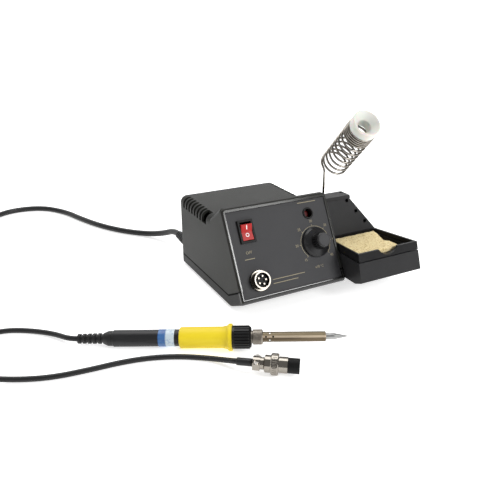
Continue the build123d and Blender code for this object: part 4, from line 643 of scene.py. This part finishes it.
# %% Shader sums
class Field:
    """A socket as a number: +, - and *, also with a plain number on the left, add Math nodes."""

    def __init__(self, finish, socket):
        self.finish = finish
        self.socket = socket

    def sum_of(self, operation, first, second):
        return self.finish.node("ShaderNodeMath", {"operation": operation}, {0: first, 1: second})

    def __add__(self, other):
        return self.sum_of("ADD", self, other)

    def __radd__(self, other):
        return self.sum_of("ADD", other, self)

    def __sub__(self, other):
        return self.sum_of("SUBTRACT", self, other)

    def __rsub__(self, other):
        return self.sum_of("SUBTRACT", other, self)

    def __mul__(self, other):
        return self.sum_of("MULTIPLY", self, other)

    def __rmul__(self, other):
        return self.sum_of("MULTIPLY", other, self)


class Finish:
    """A material on one main shader, with the few kinds of pattern that this object needs."""

    def __init__(self, name):
        self.material = bpy.data.materials.new(name)
        self.material.use_nodes = True
        self.nodes = self.material.node_tree.nodes
        self.links = self.material.node_tree.links
        self.shader = next(n for n in self.nodes if n.type == "BSDF_PRINCIPLED")
        self.where = self.node("ShaderNodeTexCoord", out="Object")

    def plug_in(self, socket, value):
        if isinstance(value, Field):
            self.links.new(value.socket, socket)
        elif isinstance(value, tuple) and len(value) == 3 and socket.type == "RGBA":
            socket.default_value = (*value, 1.0)
        else:
            socket.default_value = value

    def node(self, kind, settings=None, values=None, out=0):
        made = self.nodes.new(kind)
        for key, setting in (settings or {}).items():
            if key == "stops":
                ramp = made.color_ramp
                while len(ramp.elements) < len(setting):
                    ramp.elements.new(0.5)
                for element, (spot, colour) in zip(ramp.elements, setting):
                    element.position = spot
                    element.color = (*colour, 1.0)
            else:
                setattr(made, key, setting)
        for key, value in (values or {}).items():
            self.plug_in(made.inputs[key], value)
        return Field(self, made.outputs[out])

    def noise(self, scale, detail=2.0, where=None):
        values = {"Vector": where or self.where, "Scale": scale, "Detail": detail}
        return self.node("ShaderNodeTexNoise", values=values)

    def stretched(self, turn, scale):
        values = {"Vector": self.where, "Rotation": turn, "Scale": scale}
        return self.node("ShaderNodeMapping", {"vector_type": "TEXTURE"}, values)

    def mix(self, amount, first, second):
        return self.node("ShaderNodeMix", {"data_type": "RGBA"}, {0: amount, 6: first, 7: second}, out=2)

    def ramp(self, amount, *stops):
        return self.node("ShaderNodeValToRGB", {"stops": stops}, {0: amount})

    def along(self, way, start):
        """Distance in metres from start along a direction."""
        dot = {"operation": "DOT_PRODUCT"}
        reach = self.node("ShaderNodeVectorMath", dot, {0: self.where, 1: tuple(way)}, out="Value")
        return reach - float(np.dot(start, way))

    def relief(self, height, depth):
        return self.node("ShaderNodeBump", values={"Strength": 1.0, "Distance": depth, "Height": height})

    def give(self, **sockets):
        for name, value in sockets.items():
            self.plug_in(self.shader.inputs[name.replace("_", " ")], value)
        return self.material


print("shader sums ready")

# %% [markdown]
# Most of the station is moulded plastic, rubber or plain metal. They share one recipe with different
# numbers: two close tones in broad patches, a roughness that follows the patches, and a fine grain in the
# surface. The patches and the grain are counted per metre, and the grain's depth is in metres.

# %% Grained plastics, rubber and ink
PATCH_DETAIL = 3.0


def grained(name, dark, light, rough, swing, patch, grain, depth, **fixed):
    """Colour = mix(patches, dark, light); roughness = rough + swing * (patches - 1/2); grain lifts it."""
    finish = Finish(name)
    patches = finish.noise(patch, PATCH_DETAIL)
    fine = finish.noise(grain)
    finish.give(
        Base_Color=finish.mix(patches, dark, light),
        Roughness=rough + swing * (patches - 0.5),
        Normal=finish.relief(fine, depth),
    )
    return finish.give(**fixed)


rest_black = grained(
    "rest_black", (0.016, 0.016, 0.017), (0.026, 0.026, 0.027),
    rough=0.4, swing=0.16, patch=40, grain=2200, depth=0.00005, Specular_IOR_Level=0.2,
)
tray_black = grained(
    "tray_black", (0.007, 0.007, 0.0075), (0.013, 0.013, 0.0135),
    rough=0.34, swing=0.14, patch=40, grain=2200, depth=0.00004, Specular_IOR_Level=0.2,
)
panel_charcoal = grained(
    "panel_charcoal", (0.024, 0.024, 0.026), (0.031, 0.031, 0.034),
    rough=0.6, swing=0.1, patch=45, grain=3200, depth=0.00005, Specular_IOR_Level=0.42,
)
switch_black = grained(
    "switch_black", (0.006, 0.006, 0.006), (0.012, 0.012, 0.012),
    rough=0.45, swing=0.1, patch=60, grain=3000, depth=0.00001, Specular_IOR_Level=0.12,
)
knob_black = grained(
    "knob_black", (0.009, 0.009, 0.01), (0.015, 0.015, 0.016),
    rough=0.3, swing=0.1, patch=60, grain=3000, depth=0.00001, Specular_IOR_Level=0.35,
)
cap_grey = grained(
    "cap_grey", (0.045, 0.045, 0.047), (0.06, 0.06, 0.062),
    rough=0.5, swing=0.1, patch=90, grain=3000, depth=0.00002, Specular_IOR_Level=0.15,
)
handle_black = grained(
    "handle_black", (0.01, 0.01, 0.011), (0.018, 0.018, 0.019),
    rough=0.38, swing=0.12, patch=50, grain=2400, depth=0.00002, Specular_IOR_Level=0.35,
)
rubber_black = grained(
    "rubber_black", (0.008, 0.008, 0.0085), (0.016, 0.016, 0.0165),
    rough=0.42, swing=0.16, patch=60, grain=1600, depth=0.00003, Specular_IOR_Level=0.35,
)
grip_yellow = grained(
    "grip_yellow", (0.84, 0.63, 0.0085), (0.92, 0.72, 0.0145),
    rough=0.5, swing=0.14, patch=50, grain=2200, depth=0.00005,
)
rocker_red = grained(
    "rocker_red", (0.38, 0.008, 0.008), (0.46, 0.012, 0.01),
    rough=0.34, swing=0.08, patch=80, grain=2600, depth=0.00001, Specular_IOR_Level=0.3,
)
mark_white = grained(
    "mark_white", (0.82, 0.82, 0.82), (0.9, 0.9, 0.9),
    rough=0.4, swing=0.1, patch=90, grain=3000, depth=0.00001,
)
ink_gold = grained(
    "ink_gold", (0.22, 0.18, 0.1), (0.29, 0.25, 0.15),
    rough=0.5, swing=0.1, patch=400, grain=3000, depth=0.00001,
)
print("plastics, rubber and ink:", len(bpy.data.materials))

# %% [markdown]
# Metals take the same recipe with hardly any grain but a stronger change of roughness, as handled metal
# has. The holder's wire gets a dark tint where it is seen at a slant. The pale cup lets a little light
# through itself, and the lamp is off, so it is a dark red lens.

# %% Metals, cup, lamp and inner parts
chrome = grained(
    "chrome", (0.25, 0.228, 0.198), (0.34, 0.315, 0.28),
    rough=0.13, swing=0.1, patch=80, grain=1200, depth=0.00001, Metallic=1.0,
)
socket_nickel = grained(
    "socket_nickel", (0.13, 0.118, 0.1), (0.18, 0.165, 0.145),
    rough=0.28, swing=0.1, patch=80, grain=1200, depth=0.00001, Metallic=1.0,
)
bright_steel = grained(
    "bright_steel", (0.46, 0.44, 0.41), (0.58, 0.56, 0.53),
    rough=0.2, swing=0.16, patch=120, grain=1500, depth=0.00001, Metallic=1.0,
)
contact_brass = grained(
    "contact_brass", (0.7, 0.52, 0.22), (0.8, 0.64, 0.32),
    rough=0.28, swing=0.12, patch=120, grain=1500, depth=0.00001, Metallic=1.0,
)
aluminium = grained(
    "aluminium", (0.68, 0.68, 0.69), (0.78, 0.78, 0.79),
    rough=0.35, swing=0.14, patch=120, grain=1800, depth=0.00001, Metallic=1.0,
)
core_iron = grained(
    "core_iron", (0.16, 0.16, 0.17), (0.24, 0.23, 0.23),
    rough=0.55, swing=0.2, patch=60, grain=900, depth=0.00004, Metallic=1.0,
)
coil_copper = grained(
    "coil_copper", (0.42, 0.16, 0.06), (0.55, 0.24, 0.1),
    rough=0.35, swing=0.15, patch=60, grain=2400, depth=0.00008, Metallic=1.0,
)
board_green = grained(
    "board_green", (0.02, 0.12, 0.04), (0.03, 0.16, 0.06),
    rough=0.4, swing=0.12, patch=80, grain=1800, depth=0.00003,
)
burnt_ceramic = grained(
    "burnt_ceramic", (0.03, 0.027, 0.023), (0.06, 0.055, 0.048),
    rough=0.6, swing=0.1, patch=80, grain=1800, depth=0.00002,
)
cup_white = grained(
    "cup_white", (0.68, 0.69, 0.64), (0.75, 0.76, 0.71),
    rough=0.34, swing=0.1, patch=60, grain=1800, depth=0.00002, Subsurface_Weight=0.35,
    Subsurface_Scale=0.004,
)
lamp_red = grained(
    "lamp_red", (0.09, 0.006, 0.006), (0.13, 0.01, 0.01),
    rough=0.4, swing=0.06, patch=120, grain=1800, depth=0.00001, Specular_IOR_Level=0.1,
)
spring_steel = grained(
    "spring_steel", (0.25, 0.232, 0.207), (0.35, 0.328, 0.297),
    rough=0.1, swing=0.1, patch=120, grain=1500, depth=0.00001, Metallic=1.0,
    Specular_Tint=(0.12, 0.11, 0.09),
)
print("grained finishes:", len(bpy.data.materials))

# %% [markdown]
# The two halves of the housing are one grained plastic, but two lines on them matter to the eye. The seam
# between them is painted shade: the shadow in the narrow gap there is drawn into the colour as a dark
# line, level along the sides and then straight out to the front, so its distance is the smaller of a
# height and a way up the slope. The frame round the panel is polished, which is a clear coat only where
# the surface comes within a millimetre of the frame's front, or six on the rounded lip below it.

# %% Housing plastic with its seam and its polished frame
SEAM_Z = 12.1
SEAM_KINK_Y = 26.6
SEAM_UP = SEAM_KINK_Y * UPHILL[1] + (SEAM_Z - PANEL_FOOT_Z) * UPHILL[2]
SEAM_SHADE = 0.001
# painted shade: this near-black is drawn along the seam and in the lock ring's grooves, where shadow darkens
# them
PAINTED_SHADE_BLACK = (0.001, 0.001, 0.001)
FRAME_EDGE = 0.001
LIP_EDGE = 0.006
FRAME_HEIGHT = 0.078
LOW_GLINT = (0.9, 0.9, 0.9)
HIGH_GLINT = (0.25, 0.25, 0.25)
CASE_PATCH = 30
CASE_GRAIN = 2600
CASE_DEPTH = 0.00005
BLACK = (0.0, 0.0, 0.0)
WHITE = (1.0, 1.0, 1.0)


def moulded(name, dark, light, half, edge):
    """Painted seam shade = ramp(half * min(height, way up) from the seam); coat = ramp(distance to the
    frame's front).
    """
    finish = Finish(name)
    patches = finish.noise(CASE_PATCH, PATCH_DETAIL)
    height = finish.along(UPRIGHT, place([0, 0, SEAM_Z]))
    uphill = finish.along(UPHILL, on_panel(0, SEAM_UP))
    past = half * height.sum_of("MINIMUM", height, uphill)
    shade = finish.ramp(past * (1 / SEAM_SHADE), (0.6, BLACK), (0.9, WHITE))
    out = finish.along(OUTWARD, on_panel(0, 0, PANEL_SINK)) * (1 / edge) + 1
    polish = finish.ramp(out, (0.3, BLACK), (0.7, WHITE))
    glint = finish.ramp(uphill * (1 / FRAME_HEIGHT), (0.55, LOW_GLINT), (0.95, HIGH_GLINT))
    return finish.give(
        # painted shade: the colour turns near-black along the seam, where the gap between the halves lies in
        # shadow
        Base_Color=finish.mix(shade, PAINTED_SHADE_BLACK, finish.mix(patches, dark, light)),
        Roughness=0.94 - 0.6 * shade + 0.12 * (patches - 0.5),
        Normal=finish.relief(finish.noise(CASE_GRAIN), CASE_DEPTH),
        Coat_Weight=polish * glint,
        Coat_Roughness=0.12,
        Specular_IOR_Level=0.08,
    )


case_grey = moulded("case_grey", (0.021, 0.0215, 0.0192), (0.028, 0.0285, 0.0258), 1.0, FRAME_EDGE)
base_black = moulded("base_black", (0.014, 0.0142, 0.014), (0.021, 0.0212, 0.021), -1.0, LIP_EDGE)
print("seam runs up to", round(SEAM_UP, 2), "mm on the front")

# %% [markdown]
# The handle's label is printed film in a blue band and a pale band with faint blue blocks. Its bands
# follow the distance along the iron. The grooves of the lock ring are painted shade: they are drawn
# near-black in the colour, as the shadow in them looks, so its finish follows the distance from the
# iron's axis, which is what is left of the distance from the tail once the way along the iron is taken
# off.

# %% Label and lock ring
LABEL_FROM = 0.0373
LABEL_SPLIT = 0.0433
LABEL_TO = 0.0502
LABEL_BLUE = (0.045, 0.15, 0.38)
LABEL_PALE = (0.58, 0.68, 0.74)
BLOCK_BLUE = (0.62, 0.7, 0.86)
BAND_SOFT = 0.04
FILM_INK = 0.8
RING_R = 0.0093
RIB_BLACK = (0.012, 0.012, 0.0125)
label = Finish("label_film")
reach = label.along(iron_way, place(iron_tail))
spread = (reach - LABEL_FROM) * (1 / (LABEL_TO - LABEL_FROM))
split = (LABEL_SPLIT - LABEL_FROM) / (LABEL_TO - LABEL_FROM)
bands = label.ramp(spread, (split - BAND_SOFT, LABEL_BLUE), (split + BAND_SOFT, LABEL_PALE))
blocks = label.ramp(label.noise(420, 1.0), (0.56, WHITE), (0.64, BLOCK_BLUE))
multiply = {"data_type": "RGBA", "blend_type": "MULTIPLY"}
film = label.node("ShaderNodeMix", multiply, {0: FILM_INK, 6: bands, 7: blocks}, out=2)
label_film = label.give(Base_Color=film, Roughness=0.3 + 0.1 * label.noise(200), Coat_Weight=0.3)

ring = Finish("ring_black")
tail_to_here = {0: ring.where, 1: tuple(place(iron_tail))}
from_tail = ring.node("ShaderNodeVectorMath", {"operation": "DISTANCE"}, tail_to_here, out="Value")
along_iron = ring.along(iron_way, place(iron_tail))
off_axis = (from_tail * from_tail - along_iron * along_iron) * (1 / RING_R**2)
rib = ring.ramp(off_axis, (0.93, BLACK), (0.985, WHITE))
ring_black = ring.give(
    # painted shade: near-black in the grooves, the ring's own black on the ribs
    Base_Color=ring.mix(rib, PAINTED_SHADE_BLACK, RIB_BLACK),
    Roughness=0.9 - 0.6 * rib,
    Specular_IOR_Level=0.3,
)
print("label bands split at", round(split, 2))

# %% [markdown]
# The heated barrel is polished steel gone straw coloured along its sides, with fine scratches along it.
# The straw tint is real, but its bands follow its height across the axis and add painted light: a
# painted highlight in a bright band above the middle, and painted shade in the darker brown below it
# and at the top. The nut is cut with a fine knurl, and the tip is smeared with tin.

# %% Barrel, nut and tip
BARREL_R = 0.004
SCRATCH_TURN = (0, 0, -0.54)
SCRATCH_SIZE = (0.02, 0.0006, 0.0006)
# real straw tint with painted light: the bright band is a painted highlight, the darker bands partly painted
# shade
STRAW_AND_PAINTED_HIGHLIGHT_BANDS = (
    (0.15, (0.17, 0.13, 0.085)),
    (0.5, (0.15, 0.118, 0.078)),
    (0.63, (0.19, 0.146, 0.096)),
    (0.7, (0.85, 0.7, 0.52)),
    (0.81, (0.9, 0.75, 0.56)),
    (0.89, (0.34, 0.27, 0.17)),
    (0.97, (0.18, 0.15, 0.1)),
)
KNURL_DARK = (0.2, 0.18, 0.15)
KNURL_LIGHT = (0.42, 0.38, 0.33)
TIN_DARK = (0.3, 0.3, 0.3)
TIN_LIGHT = (0.48, 0.48, 0.47)
barrel = Finish("straw_steel_painted_highlight")
iron_up = np.cross([np.sin(IRON_HEADING), -np.cos(IRON_HEADING), 0.0], iron_way)
lift = barrel.along(iron_up, place(iron_tail)) * (0.5 / BARREL_R) + 0.5
# painted highlight and shade across the barrel's height, over its straw tint
straw_and_painted_highlight = barrel.ramp(lift, *STRAW_AND_PAINTED_HIGHLIGHT_BANDS)
scratch = barrel.noise(1.0, 2.0, barrel.stretched(SCRATCH_TURN, SCRATCH_SIZE))
straw_steel_painted_highlight = barrel.give(
    Base_Color=straw_and_painted_highlight,
    Metallic=1.0,
    Roughness=0.4 + 0.16 * scratch,
    Normal=barrel.relief(scratch, 0.00001),
)

knurl = Finish("knurled_steel")
cuts = knurl.noise(900, 1.0)
knurled_steel = knurl.give(
    Base_Color=knurl.mix(cuts, KNURL_DARK, KNURL_LIGHT),
    Metallic=1.0,
    Roughness=0.3 + 0.2 * cuts,
    Normal=knurl.relief(cuts, 0.00008),
)

tip = Finish("tinned_tip")
smear = tip.noise(260, 3.0)
tinned_tip = tip.give(
    Base_Color=tip.mix(smear, TIN_DARK, TIN_LIGHT),
    Metallic=1.0,
    Roughness=0.3 + 0.2 * smear,
)
print("straw bands:", len(STRAW_AND_PAINTED_HIGHLIGHT_BANDS))

# %% [markdown]
# The sponge is pale tan with dark and light specks. Its open cells are finer than the modelled pores, so
# they are a relief in the material: a noise for the ragged walls, and round cells over it.

# %% Sponge cells
CELLS = 900.0
CELL_SHARE = 0.6
CELL_DEPTH = 0.0002
TAN_SPECKS = (
    (0.32, (0.54, 0.39, 0.17)),
    (0.44, (0.8, 0.65, 0.345)),
    (0.6, (0.87, 0.73, 0.42)),
    (0.74, (0.92, 0.84, 0.58)),
)
sponge_cells = Finish("sponge_cells")
specks = sponge_cells.noise(620, 3.0)
cells = sponge_cells.node("ShaderNodeTexVoronoi", values={"Vector": sponge_cells.where, "Scale": CELLS})
sponge_tan = sponge_cells.give(
    Base_Color=sponge_cells.ramp(specks, *TAN_SPECKS),
    Roughness=0.85 + 0.1 * specks,
    Normal=sponge_cells.relief(specks + CELL_SHARE * cells, CELL_DEPTH),
)
print("finishes:", len(bpy.data.materials))

# %% [markdown]
# Each solid now takes its finish. The table below is the whole parts list, grouped by what the real
# pieces are made of, so a missing name would show up as an error here rather than as a plain grey piece
# in the picture.

# %% Finishes on the solids
WEARS = {
    "top_cover": case_grey,
    "base_tray": base_black,
    "front_panel": panel_charcoal,
    "rubber_feet": rubber_black,
    "cover_screws": bright_steel,
    "switch_housing": switch_black,
    "power_rocker": rocker_red,
    "switch_terminals": contact_brass,
    "lamp_bezel": switch_black,
    "heater_lamp": lamp_red,
    "temperature_knob": knob_black,
    "potentiometer_shaft": bright_steel,
    "potentiometer_body": aluminium,
    "potentiometer_nut": bright_steel,
    "socket_shell": socket_nickel,
    "socket_insert": switch_black,
    "socket_pins": socket_nickel,
    "socket_nut": bright_steel,
    "circuit_board": board_green,
    "board_screws": bright_steel,
    "capacitor": handle_black,
    "triac": switch_black,
    "terminal_block": board_green,
    "transformer_core": core_iron,
    "transformer_coil": coil_copper,
    "transformer_clamp": bright_steel,
    "transformer_screws": bright_steel,
    "mains_gland": rubber_black,
    "mains_plug": rubber_black,
    "mains_plug_pins": chrome,
    "rest_body": rest_black,
    "rest_screws": bright_steel,
    "sponge_tray": tray_black,
    "rest_funnel": cup_white,
    "iron_handle": handle_black,
    "handle_label": label_film,
    "iron_grip": grip_yellow,
    "lock_ring": ring_black,
    "barrel_nut": knurled_steel,
    "heater_barrel": straw_steel_painted_highlight,
    "heating_element": burnt_ceramic,
    "soldering_tip": tinned_tip,
    "iron_relief": rubber_black,
    "plug_shell": chrome,
    "plug_clamp": chrome,
    "clamp_screws": bright_steel,
    "plug_ring": chrome,
    "plug_nose": switch_black,
}


def wear(piece, material):
    """One finish on the whole piece."""
    piece.data.materials.clear()
    piece.data.materials.append(material)


for name, material in WEARS.items():
    wear(solids[name], material)
wear(iron_lead, rubber_black)
wear(mains_lead, rubber_black)
wear(sleeve, rubber_black)
wear(spring, spring_steel)
wear(sponge, sponge_tan)
wear(on_mark, mark_white)
wear(off_mark, mark_white)
wear(knob_cap, cap_grey)
for piece in prints:
    wear(piece, ink_gold)
print("solids with a finish:", len(WEARS))

# %% [markdown]
# The picture is a plain studio shot on a white sheet that runs back along the table and up behind it. A
# flat floor and a wall would show a line where they meet, so the sheet bends up in a quarter circle. It
# glows a little, as an overlit one does, so it stays white up to the feet.

# %% White sheet
SHEET_FRONT = -2.5
SHEET_BACK = 2.5
SHEET_BEND = 1.0
SHEET_TOP = 4.0
SHEET_SINK = 0.0002
SHEET_LEFT = -5.0
SHEET_RIGHT = 7.0
CURL_STEPS = 16
curl = np.linspace(0, np.pi / 2, CURL_STEPS)
sheet_y = np.concatenate([[SHEET_FRONT], SHEET_BACK + SHEET_BEND * np.sin(curl), [SHEET_BACK + SHEET_BEND]])
sheet_z = np.concatenate([[0.0], SHEET_BEND * (1 - np.cos(curl)), [SHEET_TOP]]) - SHEET_SINK
sheet_line = np.stack([np.zeros_like(sheet_y), sheet_y, sheet_z], 1)
sheet_points = sheet_line[:, None] + np.array([(SHEET_LEFT, 0, 0), (SHEET_RIGHT, 0, 0)])
rung = 2 * np.arange(len(sheet_y) - 1)
sheet_faces = np.stack([rung, rung + 1, rung + 3, rung + 2], 1).tolist()
sheet = as_mesh("white_sheet", sheet_points, sheet_faces, True)
sheet_white = grained(
    "sheet_white", (0.88, 0.88, 0.88), (0.9, 0.9, 0.9),
    rough=0.9, swing=0.05, patch=3, grain=300, depth=0.00001, Emission_Color=(1.0, 1.0, 1.0),
    Emission_Strength=0.62,
)
wear(sheet, sheet_white)
print("sheet faces:", len(sheet.data.polygons))

# %% [markdown]
# A soft light above greys the flat top, a weak one stands at the left, and one at the front draws the
# bright line down the rounded edge of the front. The rest of the room is dim, which gives the bright
# metal something dark to mirror.

# %% Light
ROOM_STRENGTH = 0.3
LIGHTS = (
    ("top_softbox", (0.0, 0.5, 1.3), (0, 0, 0), 1.0, 10),
    ("left_softbox", (-1.3, -0.5, 0.8), (0, 0, 0.05), 0.7, 1),
    ("front_softbox", (0.62, -1.2, 0.75), (0, 0, 0.05), 0.5, 13),
)


def soft_light(name, spot, aim, size, watts):
    """Square light at a place in metres, turned so that its -Z looks at the aim."""
    lamp = bpy.data.lights.new(name, "AREA")
    lamp.energy = watts
    lamp.size = size
    light = bpy.data.objects.new(name, lamp)
    turn = (Vector(aim) - Vector(spot)).to_track_quat("-Z", "Y").to_matrix().to_4x4()
    light.matrix_world = Matrix.Translation(Vector(spot)) @ turn
    bpy.context.scene.collection.objects.link(light)


for name, spot, aim, size, watts in LIGHTS:
    soft_light(name, spot, aim, size, watts)
room = bpy.data.worlds.new("dim_room")
room.use_nodes = True
room_light = room.node_tree.nodes["Background"].inputs
room_light["Color"].default_value = (*WHITE, 1.0)
room_light["Strength"].default_value = ROOM_STRENGTH
bpy.context.scene.world = room
bpy.context.scene.view_settings.view_transform = "Standard"
